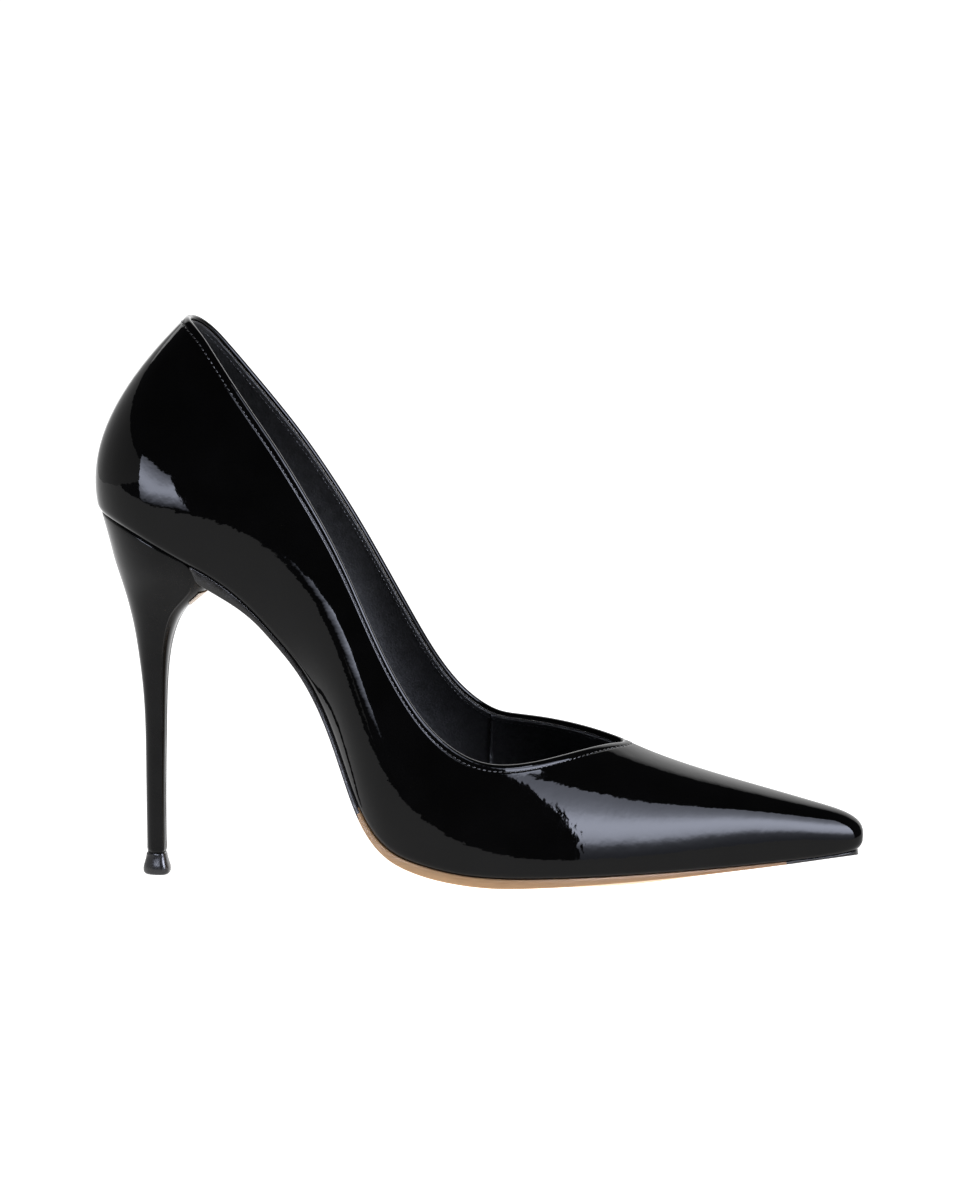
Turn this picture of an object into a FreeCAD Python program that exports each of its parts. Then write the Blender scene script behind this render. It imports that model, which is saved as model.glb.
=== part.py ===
import FreeCAD, Part
import functools
import math
import os

Vec = FreeCAD.Vector

# ---------------------------------------------------------------------------
# A high heel pump, right foot, size EU 38, with a 110 mm stiletto heel.
# Millimetres. +X points to the toe, -Y is the outer (lateral) side, +Z is up.
# The origin lies on the ground under the middle of the shoe.
# ---------------------------------------------------------------------------

# Leather, board and sole thicknesses, from the outside in
UPPER = 1.1
MIDDLE = 0.8
LINING = 0.8
WALL = UPPER + MIDDLE + LINING
MARGIN_STACK = UPPER + MIDDLE
BOARD = 1.2
CUSHION = 1.2
SOCK = 0.8
OUTSOLE = 3.4
OUTSOLE_EDGE = 3.0
WAIST_SOLE = 2.0
WAIST_EDGE = 1.6
TOE_THINNER = 1.9          # how much thinner the outsole is under the toe
TOE_EDGE_THINNER = 2.55
BREAST_THICKER = 2.6       # how much thicker it is where it runs over the heel
BREAST_EDGE_THINNER = 0.9
BREAST_LIP = 2.6           # how much thicker its edge is just in front of the heel
BREAST_LIP_AT = -80.0
BREAST_LIP_END = -62.0
SHANK = 1.5
TREAD = 0.08                # share of the sole's width that is flat
TREAD_POWER = 1.35          # how fast the sole rises to its edges

# Upper
FEATHER_RADIUS = 2.0
MARGIN = 7.0
MEDIAL_WAIST = 0.86

# The wall is counted from 0 at the back of the heel to 1 at the toe, and its height from 1 to 2
COUNTER_END = 0.3
COUNTER_TOP = 1.72
BACKER_END = 0.6
BACKER_TOP = 1.92
VAMP_BACKER_LOW = 1.42
PUFF_START = 0.84
PUFF_TOP = 1.4
GAP = 0.004
LINING_ROWS = (1.0, 1.985)
TAPE_ROWS = (1.935, 1.985)
STITCH_ROWS = [1.95, 1.9535, 1.957]
THREAD = 0.25

# Heel
COVER = 0.8
TIP_HEIGHT = 6.6
TUBE_OUTER = 1.6
TUBE_INNER = 1.0
TUBE_TOP = 84.0
PIN_X = -98.2
PIN_FOOT = 3.0
PIN_HEAD = 24.0
SOLE_END = -84.0
SOLE_INSET = 0.9           # the outsole's edge stands this far inside the feather line
SCREW_X = -96.0
SCREW_RADIUS = 1.9
SCREW_FOOT = 87.0
TONGUE = 0.4
TONGUE_CLEAR = 0.05
TONGUE_ROWS = (82.8, 87.2)  # heights of the ends of the sole leather's tongue
TONGUE_REACH = 0.78         # its half width, as a share of the breast's
FRONT_POWER = 3.6           # how square the front of the heel's section is
NAILS = [(-105.5, 0.0), (-102.0, 9.0), (-102.0, -9.0), (-91.0, 9.0), (-91.0, -9.0)]
NAIL_LENGTH = 13.0
NAIL_RADIUS = 0.8
RIVETS = [-70.0, -26.0]
RIVET_RADIUS = 2.0
SCREW_HEAD = 3.4
SCREW_HEAD_THICK = 0.8
SHANK_ENDS = (-105.0, -18.0)
SHANK_HALF = 4.2
SHANK_LIFT = 0.2           # clear of the outsole
INSIDE_CLEAR = 0.3         # between the bottom's pieces and the lining
FILLER_ENDS = (-14.0, 84.0)
FILLER_CLEAR = 0.8
SHANK_BOARD_END = -12.0
CUSHION_START = -11.6
HEEL_TOP = 118.0           # the heel is built this high, then cut to the seat
# Half length of the top piece at each height, and its width against its length
TIP_HALF = [(0.0, 3.5), (0.3, 3.85), (0.9, 4.1), (2.0, 4.1), (3.2, 3.8), (4.6, 3.4), (5.8, 3.15),
            (TIP_HEIGHT, 3.1)]
TIP_WIDTH = 0.95
# The heel from the side and from behind: height, place or half width
HEEL_BACK = [(0.0, -101.1), (12.0, -101.1), (30.0, -101.2), (48.0, -101.4), (59.0, -102.1), (66.0, -102.9),
             (77.0, -104.6), (88.0, -107.4), (95.0, -109.5), (103.0, -111.5), (110.0, -113.4),
             (114.0, -114.4), (120.0, -115.6)]
HEEL_FRONT = [(0.0, -95.3), (30.0, -95.2), (48.0, -94.8), (59.0, -94.4), (66.0, -93.8), (73.5, -92.3),
              (77.5, -90.8), (81.0, -88.6), (84.5, -84.8), (88.0, -81.0), (95.0, -79.5), (120.0, -79.5)]
HEEL_HALF = [(0.0, 3.4), (12.0, 3.4), (40.0, 3.4), (58.0, 4.0), (70.0, 6.0), (80.0, 9.6), (88.0, 14.0),
             (95.0, 18.2), (103.0, 21.0), (110.0, 21.6), (120.0, 21.6)]

# The feather line, where the upper meets the sole, seen from the side: x, height
FEATHER_Z = [(-122.0, 113.2), (-114.0, 112.0), (-106.0, 109.0), (-94.0, 102.4), (-81.0, 95.0), (-70.0, 86.9),
             (-59.0, 75.0), (-50.0, 63.2), (-41.0, 45.0), (-34.0, 27.5), (-27.0, 17.2), (-17.0, 11.9),
             (0.0, 8.5), (25.0, 7.6), (55.0, 7.8), (88.0, 9.2), (113.0, 11.9), (122.0, 13.6)]
# The middle of the sole's upper face: x, height
CENTRE_Z = [(-122.0, 112.6), (-114.0, 111.4), (-106.0, 108.0), (-94.0, 101.0), (-81.0, 93.2), (-70.0, 84.6),
            (-59.0, 72.4), (-50.0, 60.0), (-41.0, 41.5), (-34.0, 24.0), (-27.0, 13.4), (-17.0, 6.6),
            (-6.0, 3.8), (2.0, OUTSOLE), (10.0, OUTSOLE), (24.0, OUTSOLE), (34.0, OUTSOLE), (44.0, 3.7),
            (54.0, 4.6), (66.0, 6.0), (88.0, 8.5), (113.0, 11.7), (122.0, 13.4)]
# Half width of the sole without its round ends: x, width
HALF_WIDTH = [(-122.0, 22.0), (-100.0, 21.5), (-84.0, 21.0), (-66.0, 18.2), (-50.0, 16.4), (-40.0, 20.0),
              (-30.0, 28.0), (-14.0, 35.0), (4.0, 37.0), (24.0, 34.5), (44.0, 28.0), (66.0, 19.5),
              (88.0, 12.0), (106.0, 7.4), (122.0, 6.0)]

# Control net of the shoe form, outer side, from the back of the heel to the toe tip.
# Each column is one rib: sole edge (x, y), low side (x, y, z), high side (x, y, z), crest (x, z).
# Behind the throat the crest is only a guide: the topline cuts the rib below it.
NET = [((-114.2, 0.0), (-117.4, 0.0, 128.0), (-113.2, 0.0, 150.5), (-68.5, 185.5)),
       ((-114.2, 9.6), (-117.4, 11.5, 128.0), (-113.2, 9.5, 150.5), (-68.5, 185.5)),
       ((-109.0, 18.3), (-111.5, 22.5, 127.0), (-106.5, 18.5, 152.5), (-68.3, 185.0)),
       ((-99.0, 22.4), (-101.5, 28.5, 124.0), (-96.2, 24.0, 153.0), (-67.5, 182.0)),
       ((-87.0, 22.6), (-89.5, 29.2, 119.0), (-83.5, 26.5, 149.0), (-64.0, 177.0)),
       ((-74.0, 20.0), (-76.0, 27.8, 111.0), (-70.0, 28.0, 142.0), (-56.0, 169.0)),
       ((-62.0, 17.6), (-63.0, 27.0, 101.0), (-57.0, 29.0, 131.0), (-46.0, 158.0)),
       ((-51.5, 16.4), (-52.0, 27.4, 87.0), (-46.0, 30.0, 118.0), (-36.0, 144.0)),
       ((-43.5, 18.0), (-43.0, 29.6, 72.0), (-37.0, 31.0, 104.0), (-27.0, 128.0)),
       ((-36.0, 24.0), (-35.0, 33.6, 54.0), (-30.0, 33.0, 88.0), (-19.0, 111.0)),
       ((-27.0, 31.0), (-26.0, 37.5, 36.0), (-21.0, 35.5, 72.0), (-10.0, 94.0)),
       ((-14.5, 36.0), (-13.5, 39.0, 27.0), (-9.0, 36.0, 58.0), (0.0, 77.0)),
       ((2.0, 38.0), (3.0, 39.5, 23.0), (7.0, 34.0, 49.0), (14.0, 61.0)),
       ((22.0, 36.0), (23.0, 37.5, 21.0), (27.0, 26.0, 45.5), (31.0, 50.0)),
       ((43.0, 29.0), (44.0, 30.6, 20.5), (47.0, 18.6, 39.5), (48.0, 41.0)),
       ((64.0, 20.8), (65.0, 21.8, 21.0), (66.5, 14.8, 33.6), (67.0, 34.8)),
       ((84.0, 13.5), (84.5, 14.4, 20.4), (85.5, 11.4, 28.6), (86.0, 29.8)),
       ((100.5, 8.8), (101.0, 9.8, 18.8), (102.0, 7.8, 24.4), (102.0, 25.4)),
       ((110.5, 6.2), (111.8, 6.9, 16.8), (112.2, 4.6, 21.6), (112.2, 22.6)),
       ((114.0, 3.2), (115.8, 3.2, 14.8), (115.8, 2.0, 17.4), (115.8, 18.0)),
       ((114.0, 0.0), (114.0, 0.0, 12.4), (114.0, 0.0, 12.4), (114.0, 12.4))]

# Control points of the outer topline, one for each rib of the net
TOPLINE = [(-87.0, 0.0, 169.6), (-87.0, 4.4, 169.6), (-82.4, 10.0, 165.8), (-74.2, 16.0, 155.4),
           (-66.0, 19.2, 144.4), (-57.0, 21.2, 132.4), (-48.5, 22.2, 118.5), (-41.0, 23.0, 105.5),
           (-34.5, 24.0, 92.0), (-27.5, 26.0, 76.0), (-19.0, 29.0, 61.0), (-9.0, 32.0, 49.0),
           (3.0, 32.0, 41.6), (14.0, 28.0, 41.0), (23.0, 22.0, 41.8), (30.5, 15.5, 42.8), (36.5, 9.5, 43.5),
           (40.5, 5.0, 43.6), (42.4, 2.6, 43.4), (43.0, 1.2, 43.4), (43.0, 0.0, 43.4)]

# How far the inner topline stands above the outer one: place along it, rise
MEDIAL_RISE = [(0.0, 0.0), (0.06, 0.3), (0.15, 1.9), (0.3, 3.8), (0.37, 5.0), (0.44, 7.0), (0.5, 7.4),
               (0.55, 7.9), (0.6, 9.2), (0.66, 10.6), (0.71, 10.4), (0.76, 8.5), (0.82, 5.2), (0.89, 1.9),
               (0.95, 0.4), (1.0, 0.0)]

SPANS = len(NET) - 3
WRAP = 4                   # columns of a ring repeated past its seam, so that the seam is smooth


# ---------------------------------------------------------------------------
# Small curve tools
# ---------------------------------------------------------------------------

def smooth_curve(points):
    """A natural cubic spline through (x, value) points, as a function of x."""
    xs = [p[0] for p in points]
    ys = [p[1] for p in points]
    n = len(xs)
    h = [xs[i + 1] - xs[i] for i in range(n - 1)]
    upper = [0.0] * n
    bend = [0.0] * n
    for i in range(1, n - 1):
        load = 6.0 * ((ys[i + 1] - ys[i]) / h[i] - (ys[i] - ys[i - 1]) / h[i - 1])
        pivot = 2.0 * (h[i - 1] + h[i]) - h[i - 1] * upper[i - 1]
        upper[i] = h[i] / pivot
        bend[i] = (load - h[i - 1] * bend[i - 1]) / pivot
    for i in range(n - 2, 0, -1):
        bend[i] -= upper[i] * bend[i + 1]

    def value(x):
        i = 0
        while i < n - 2 and x > xs[i + 1]:
            i += 1
        a = (xs[i + 1] - x) / h[i]
        b = 1.0 - a
        curve = ((a ** 3 - a) * bend[i] + (b ** 3 - b) * bend[i + 1]) * h[i] ** 2 / 6.0
        return a * ys[i] + b * ys[i + 1] + curve
    return value


def span_weights(u):
    """The four B-spline weights at u, with the first control point they belong to."""
    place = min(max(u, 0.0), 1.0) * SPANS
    first = min(int(place), SPANS - 1)
    knots = [min(max(k, 0), SPANS) for k in range(first - 2, first + 4)]
    weights = [1.0]
    for degree in (1, 2, 3):
        grown = [0.0] * (degree + 1)
        for k in range(degree):
            low = knots[3 - degree + k]
            high = knots[3 + k]
            share = (place - low) / (high - low)
            grown[k] += weights[k] * (1.0 - share)
            grown[k + 1] += weights[k] * share
        weights = grown
    return first, weights


def along(columns, u):
    """The point of a B-spline row at u."""
    first, weights = span_weights(u)
    size = len(columns[0])
    return [sum(weights[k] * columns[first + k][c] for k in range(4)) for c in range(size)]


feather_z = smooth_curve(FEATHER_Z)
centre_z = smooth_curve(CENTRE_Z)
half_width = smooth_curve(HALF_WIDTH)
medial_rise = smooth_curve(MEDIAL_RISE)

EDGE_ROW = [c[0] for c in NET]
LOW_ROW = [c[1] for c in NET]
HIGH_ROW = [c[2] for c in NET]
CREST_ROW = [(c[3][0], 0.0, c[3][1]) for c in NET]


# ---------------------------------------------------------------------------
# The shoe form
# ---------------------------------------------------------------------------

def add(p, q, scale=1.0):
    return [p[k] + scale * q[k] for k in range(3)]


def away(p, q):
    return [q[k] - p[k] for k in range(3)]


def size_of(p):
    return math.sqrt(p[0] ** 2 + p[1] ** 2 + p[2] ** 2)


def dot(p, q):
    return p[0] * q[0] + p[1] * q[1] + p[2] * q[2]


def cross(p, q):
    return [p[1] * q[2] - p[2] * q[1], p[2] * q[0] - p[0] * q[2], p[0] * q[1] - p[1] * q[0]]


def unit(p):
    length = max(size_of(p), 1e-9)
    return [c / length for c in p]


def blend(x, start, end):
    """0 before start, 1 after end, smooth between."""
    t = min(max((x - start) / (end - start), 0.0), 1.0)
    return t * t * (3.0 - 2.0 * t)


def waist_share(x, side):
    """The inner side of the waist is drawn in, the outer side is not."""
    if side < 0:
        return 1.0
    return 1.0 - (1.0 - MEDIAL_WAIST) * blend(x, -88.0, -60.0) * (1.0 - blend(x, -34.0, -6.0))


def sole_z(x, y):
    """Height of the sole's upper face: flat across its middle, rising to the feather line."""
    rise = max(0.0, abs(y) / half_width(x) - TREAD) / (1.0 - TREAD)
    return centre_z(x) + (feather_z(x) - centre_z(x)) * min(rise, 1.25) ** TREAD_POWER


@functools.lru_cache(maxsize=None)
def edge_point(u, side):
    x, y = along(EDGE_ROW, u)
    return x, side * y * waist_share(x, side), feather_z(x)


def rib(u, side):
    """The four control points of the rib at u."""
    low = along(LOW_ROW, u)
    high = along(HIGH_ROW, u)
    crest = along(CREST_ROW, u)
    edge = edge_point(u, side)
    share = 0.5 + 0.5 * waist_share(edge[0], side)
    return edge, [low[0], side * low[1] * share, low[2]], [high[0], side * high[1], high[2]], crest


def form(u, v, side):
    """A point of the shoe form: v runs from the sole edge, 0, to the crest, 1."""
    a, b, c, d = rib(u, side)
    w = 1.0 - v
    return [w ** 3 * a[k] + 3 * w * w * v * b[k] + 3 * w * v * v * c[k] + v ** 3 * d[k] for k in range(3)]


@functools.lru_cache(maxsize=None)
def girth(u):
    a, b, c, d = rib(u, -1)
    return size_of(away(a, b)) + size_of(away(b, c)) + size_of(away(c, d))


def topline_guide(t, side):
    """A point of the topline. The inner side stands higher, square to the line seen from the side."""
    x, y, z = along(TOPLINE, t)
    if side < 0:
        return [x, -y, z]
    before = along(TOPLINE, max(t - 0.01, 0.0))
    after = along(TOPLINE, min(t + 0.01, 1.0))
    run = math.hypot(after[0] - before[0], after[2] - before[2])
    rise = medial_rise(t)
    return [x - rise * (after[2] - before[2]) / run, y, z + rise * (after[0] - before[0]) / run]


def drop_on_form(target, u, v, side):
    """The (u, v) of the form's point nearest to the target, from a first guess."""
    step = 1e-4
    for _ in range(12):
        u = min(max(u, 0.0), 1.0 - step)
        v = min(max(v, 0.0), 1.0 - step)
        here = form(u, v, side)
        du = [c / step for c in away(here, form(u + step, v, side))]
        dv = [c / step for c in away(here, form(u, v + step, side))]
        gap = away(here, target)
        uu, uv, vv = dot(du, du), dot(du, dv), dot(dv, dv)
        gu, gv = dot(gap, du), dot(gap, dv)
        det = max(uu * vv - uv * uv, 1e-6)
        u += 0.8 * (gu * vv - gv * uv) / det
        v += 0.8 * (gv * uu - gu * uv) / det
    return min(max(u, 0.0), 1.0), min(max(v, 0.0), 1.0)


def topline_on_form(side):
    """Two functions of t: the rib that the topline crosses, and how far below the crest."""
    ribs = []
    depths = []
    u, v = 0.0, 0.86
    for i in range(49):
        t = i / 48.0
        if t == 1.0:
            u, v = drop_on_form(topline_guide(t, side), u, 1.0, side)
            v = 1.0
        else:
            u, v = drop_on_form(topline_guide(t, side), u, v, side)
        ribs.append((t, u))
        depths.append((t, girth(u) * (1.0 - v)))
    return smooth_curve(ribs), smooth_curve(depths)


TOP = {-1: topline_on_form(-1), 1: topline_on_form(1)}


def around(h):
    """h counts round the shoe: 0 at the back of the heel, +1 and -1 at the toe, + on the inner side."""
    while h > 1.0:
        h -= 2.0
    while h < -1.0:
        h += 2.0
    side = 1 if h >= 0.0 else -1
    return abs(h), side


def wall(h, t):
    """A point of the upper's outer face between the sole edge, t = 0, and the topline, t = 1."""
    theta, side = around(h)
    u_top, depth_top = TOP[side][0](theta), TOP[side][1](theta)
    u = theta + (u_top - theta) * t
    whole = girth(theta)
    depth = whole + (depth_top - whole) * t
    reach = girth(u)
    v = 1.0 if reach < 1e-6 else 1.0 - depth / reach
    return form(u, min(max(v, 0.0), 1.0), side)


def edge_normal(h):
    """The outward normal of the sole's outline, seen from above."""
    before = edge_point(*around(h - 0.004))
    after = edge_point(*around(h + 0.004))
    flat = unit([after[0] - before[0], after[1] - before[1], 0.0])
    return [-flat[1], flat[0], 0.0]


def margin_width(h):
    theta = around(h)[0]
    return MARGIN * (1.0 - 0.8 * blend(theta, 0.86, 0.98)) * (1.0 - 0.25 * blend(theta, 0.1, 0.3))


@functools.lru_cache(maxsize=None)
def feather_share(h):
    """The share of the wall that the round turn at the feather line takes."""
    near = 0.05
    return FEATHER_RADIUS * near / size_of(away(edge_point(*around(h)), wall(h, near)))


def profile(h, r):
    """The upper's outer face: r = -1 to 0 under the insole, 0 to 1 round the feather, 1 to 2 up the wall."""
    corner = edge_point(*around(h))
    turn = feather_share(h)
    if r >= 1.0:
        return wall(h, turn + (1.0 - turn) * (r - 1.0))
    normal = edge_normal(h)
    inward = FEATHER_RADIUS + max(-r, 0.0) * margin_width(h)
    low = add(corner, normal, -inward)
    low[2] = sole_z(low[0], low[1])
    if r <= 0.0:
        return low
    high = wall(h, turn)
    return [(1 - r) ** 2 * low[k] + 2 * (1 - r) * r * corner[k] + r * r * high[k] for k in range(3)]


def layer(h, r, depth):
    """A point of the upper, depth below its outer face."""
    here = profile(h, r)
    if depth == 0.0:
        return here
    step = 2e-3
    round_it = away(profile(h - step, r), profile(h + step, r))
    up_it = away(profile(h, max(r - step, -1.0)), profile(h, min(r + step, 2.0)))
    return add(here, unit(cross(up_it, round_it)), -depth)


# ---------------------------------------------------------------------------
# Solids from grids of points
# ---------------------------------------------------------------------------

def steps(start, end, count):
    return [start + (end - start) * i / (count - 1) for i in range(count)]


def surface(grid):
    sheet = Part.BSplineSurface()
    sheet.interpolate([[Vec(*p) for p in row] for row in grid])
    return sheet


def solid_of(faces):
    shell = Part.Compound(faces)
    shell.sewShape(1e-3)
    solid = Part.Solid(shell.Shells[0])
    if solid.Volume < 0:
        solid.reverse()
    return solid


def block(outer, inner):
    """A closed solid between two grids, with ruled rims on its four sides."""
    skins = [surface(outer), surface(inner)]
    faces = [s.toShape() for s in skins]
    u0, u1, v0, v1 = skins[0].bounds()
    a0, a1, b0, b1 = skins[1].bounds()
    pairs = [(skins[0].uIso(u0), skins[1].uIso(a0)), (skins[0].uIso(u1), skins[1].uIso(a1)),
             (skins[0].vIso(v0), skins[1].vIso(b0)), (skins[0].vIso(v1), skins[1].vIso(b1))]
    faces += [Part.makeRuledSurface(p.toShape(), q.toShape()) for p, q in pairs]
    return solid_of(faces)


def iso_parameter(sheet, point, near, count):
    """The parameter of the column through a point of a wrapped ring, on its first or second pass."""
    u0, u1, v0, v1 = sheet.bounds()
    whole = u1 - u0
    low = u0 + whole * (0.5 * WRAP + near * count) / (count + 2 * WRAP)
    high = u0 + whole * (1.5 * WRAP + near * count) / (count + 2 * WRAP)
    part = sheet.copy()
    part.segment(low, high, v0, v1)
    return part.parameter(point)[0]


def halves(grid):
    """A closed ring of columns as one smooth surface, cut in two at its first and middle columns."""
    count = len(grid)
    whole = surface(grid[-WRAP:] + grid + grid[:WRAP + 1])
    v0, v1 = whole.bounds()[2:]
    row = len(grid[0]) // 2
    cuts = []
    for column, near in ((0, 0.0), (count // 2, 0.5), (0, 1.0)):
        cuts.append(iso_parameter(whole, Vec(*grid[column][row]), near, count))
    parts = []
    for low, high in zip(cuts, cuts[1:]):
        part = whole.copy()
        part.segment(low, high, v0, v1)
        parts.append(part)
    return parts


def ring(outer, inner):
    """A closed band between two rings of points, such as the whole upper."""
    faces = []
    for skin, lining in zip(halves(outer), halves(inner)):
        faces += [skin.toShape(), lining.toShape()]
        v0, v1 = skin.bounds()[2:]
        b0, b1 = lining.bounds()[2:]
        faces.append(Part.makeRuledSurface(skin.vIso(v0).toShape(), lining.vIso(b0).toShape()))
        faces.append(Part.makeRuledSurface(skin.vIso(v1).toShape(), lining.vIso(b1).toShape()))
    return solid_of(faces)


def capped(grid):
    """A closed solid inside one ring of points, with flat ends."""
    faces = []
    low_edges = []
    high_edges = []
    for skin in halves(grid):
        faces.append(skin.toShape())
        v0, v1 = skin.bounds()[2:]
        low_edges.append(skin.vIso(v0).toShape())
        high_edges.append(skin.vIso(v1).toShape())
    faces.append(Part.Face(Part.Wire(low_edges)))
    faces.append(Part.Face(Part.Wire(high_edges)))
    return solid_of(faces)


def skin_grid(rounds, rows, depth):
    return [[layer(h, r, depth) for r in rows] for h in rounds]


WALL_ROWS = [1.0, 1.05, 1.12, 1.2, 1.3, 1.4, 1.5, 1.6, 1.7, 1.8, 1.88, 1.95, 2.0]
FULL_ROWS = [-1.0, -0.85, -0.7, -0.55, -0.4, -0.25, -0.12, 0.0, 0.25, 0.5, 0.75] + WALL_ROWS
ROUNDS = 96
# Columns lie closer together at the back of the heel and at the toe
EVEN = [2.0 * i / ROUNDS for i in range(ROUNDS)]
RING = [s - 0.6 * math.sin(2.0 * math.pi * s) / (2.0 * math.pi) for s in EVEN]


def rounds_between(low, high):
    every = [h + turn for turn in (-2.0, 0.0, 2.0) for h in RING]
    return [low] + [h for h in every if low + 0.004 < h < high - 0.004] + [high]


def rows_between(low, high):
    return [low] + [r for r in WALL_ROWS if low + 0.02 < r < high - 0.02] + [high]


def full_band(depth_out, depth_in, rows):
    return ring(skin_grid(RING, rows, depth_out), skin_grid(RING, rows, depth_in))


def patch(h0, h1, low, high, depth_out, depth_in):
    """A piece of one layer of the wall."""
    rounds = rounds_between(h0, h1)
    rows = rows_between(low, high)
    return block(skin_grid(rounds, rows, depth_out), skin_grid(rounds, rows, depth_in))


# ---------------------------------------------------------------------------
# Solids of the bottom: sheets that follow the sole, cut to the shoe's outline
# ---------------------------------------------------------------------------

def sole_point(x, y, height):
    """A point square above the sole's upper face, or below it where height is negative."""
    slope = (sole_z(x + 0.5, y) - sole_z(x - 0.5, y))
    scale = height / math.hypot(1.0, slope)
    return [x - slope * scale, y, sole_z(x, y) + scale]


def outsole_face(x, share):
    """Height of the outsole's lower face. The outsole thins towards the waist and towards its edges."""
    waist = 1.0 - blend(x, -38.0, -12.0)
    toe = blend(x, 36.0, 100.0)
    thinning = min(max((x - 8.0) / 100.0, 0.0), 1.0)
    breast = 1.0 - blend(x, SOLE_END, SOLE_END + 15.0)
    middle = OUTSOLE + (WAIST_SOLE - OUTSOLE) * waist + BREAST_THICKER * breast - TOE_THINNER * toe
    edge = OUTSOLE_EDGE + (WAIST_EDGE - OUTSOLE_EDGE) * waist
    lip = blend(x, SOLE_END, BREAST_LIP_AT) * (1.0 - blend(x, BREAST_LIP_AT, BREAST_LIP_END))
    edge += BREAST_LIP * lip - BREAST_EDGE_THINNER * breast - TOE_EDGE_THINNER * thinning
    side = max(0.0, abs(share) - TREAD) / (1.0 - TREAD)
    return -middle - (edge - middle) * min(side, 1.2) ** TREAD_POWER


def sheet(x0, x1, low, high, half):
    """A solid sheet of the given half width that follows the sole between two heights."""
    xs = steps(x0, x1, max(6, int((x1 - x0) / 4.5)))
    ys = steps(-half, half, 11)
    grids = [[[sole_point(x, y, height) for y in ys] for x in xs] for height in (high, low)]
    return block(grids[0], grids[1])


def outline_point(h, inset):
    return add(edge_point(*around(h)), edge_normal(h), -inset)[:2]


def share_at(x, inset):
    """How far along the outline, from heel to toe, the drawn-in outline passes x."""
    low, high = 0.0, 1.0
    for _ in range(40):
        middle = 0.5 * (low + high)
        if outline_point(middle, inset)[0] < x:
            low = middle
        else:
            high = middle
    return low


def bottom_piece(low, high, inset, x0=-200.0, x1=200.0):
    """A sheet under the foot, cut to the shoe's outline drawn in by inset, between two heights."""
    def height(rule, x, share):
        return rule(x, share) if callable(rule) else rule
    start = max(share_at(x0, inset), 0.003)
    end = min(share_at(x1, inset), 0.997)
    grids = [[], []]
    for h in steps(start, end, max(8, int((end - start) * 64))):
        outer = outline_point(-h, inset)
        inner = outline_point(h, inset)
        for grid, rule in zip(grids, (high, low)):
            row = []
            for t in steps(0.0, 1.0, 17):
                x = outer[0] + (inner[0] - outer[0]) * t
                y = outer[1] + (inner[1] - outer[1]) * t
                row.append(sole_point(x, y, height(rule, x, y / half_width(x))))
            grid.append(row)
    return block(grids[0], grids[1])


def square_to_sole(x, low, high, radius, y=0.0):
    """A round bar square to the sole at x, from one height to another."""
    foot = Vec(*sole_point(x, y, low))
    head = Vec(*sole_point(x, y, high))
    return Part.makeCylinder(radius, (head - foot).Length, foot, head - foot)


# ---------------------------------------------------------------------------
# The heel: level D-shaped sections, round at the back and squarer at the breast
# ---------------------------------------------------------------------------

heel_back = smooth_curve(HEEL_BACK)
heel_front = smooth_curve(HEEL_FRONT)
heel_half = smooth_curve(HEEL_HALF)


ANGLES = [2.0 * math.pi * i / 48 - math.pi for i in range(48)]


def d_shape(angle, back, front, half, square=FRONT_POWER):
    """A point of a D-shaped section, round at the back, squarer at the front."""
    middle = back + 0.58 * (front - back)
    c, s = math.cos(angle), math.sin(angle)
    power = 2.0 / (2.0 if c < 0 else square)
    reach = front - middle if c > 0 else middle - back
    return middle + reach * math.copysign(abs(c) ** power, c), half * math.copysign(abs(s) ** power, s)


def heel_block(z0, z1, inset):
    columns = []
    for angle in ANGLES:
        column = []
        for z in steps(z0, z1, 26):
            x, y = d_shape(angle, heel_back(z) + inset, heel_front(z) - inset, heel_half(z) - inset)
            column.append([x, y, z])
        columns.append(column)
    return capped(columns)


def heel_pieces():
    """The heel's core and its leather cover, both cut to the seat and to the end of the outsole."""
    seat = sheet(-124.0, -60.0, 0.0, 40.0, 30.0)
    notch = bottom_piece(outsole_face, 1.0, SOLE_INSET, SOLE_END)
    core = heel_block(TIP_HEIGHT, HEEL_TOP, COVER).cut(seat).cut(notch)
    cover = heel_block(TIP_HEIGHT, HEEL_TOP, 0.0).cut(seat).cut(notch)
    cover = cover.cut(heel_block(0.0, HEEL_TOP + 2.0, COVER))
    return core, max(cover.Solids, key=lambda solid: solid.Volume)


def sole_tongue():
    """The end of the sole leather, turned down on to the top of the heel's breast."""
    low, high = TONGUE_ROWS
    grids = []
    for inset in (-TONGUE_CLEAR - TONGUE, -TONGUE_CLEAR):
        grid = []
        for z in steps(low, high, 9):
            reach = TONGUE_REACH * (1.0 - 0.5 * max(0.0, 1.0 - (z - low) / 1.6) ** 2)
            row = []
            for share in steps(-reach, reach, 17):
                angle = math.copysign(math.asin(abs(share) ** (FRONT_POWER / 2.0)), share)
                x, y = d_shape(angle, heel_back(z) + inset, heel_front(z) - inset, heel_half(z) - inset)
                row.append([x, y, z])
            grid.append(row)
        grids.append(grid)
    return block(grids[0], grids[1])


def top_piece():
    columns = []
    for angle in ANGLES:
        column = []
        for z, half in TIP_HALF:
            x, y = d_shape(angle, PIN_X - half, PIN_X + half, half * TIP_WIDTH, 3.0)
            column.append([x, y, z])
        columns.append(column)
    return capped(columns)


def upright(radius, z0, z1, x=PIN_X, y=0.0):
    return Part.makeCylinder(radius, z1 - z0, Vec(x, y, z0))


# ---------------------------------------------------------------------------
# The nodes
# ---------------------------------------------------------------------------

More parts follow.
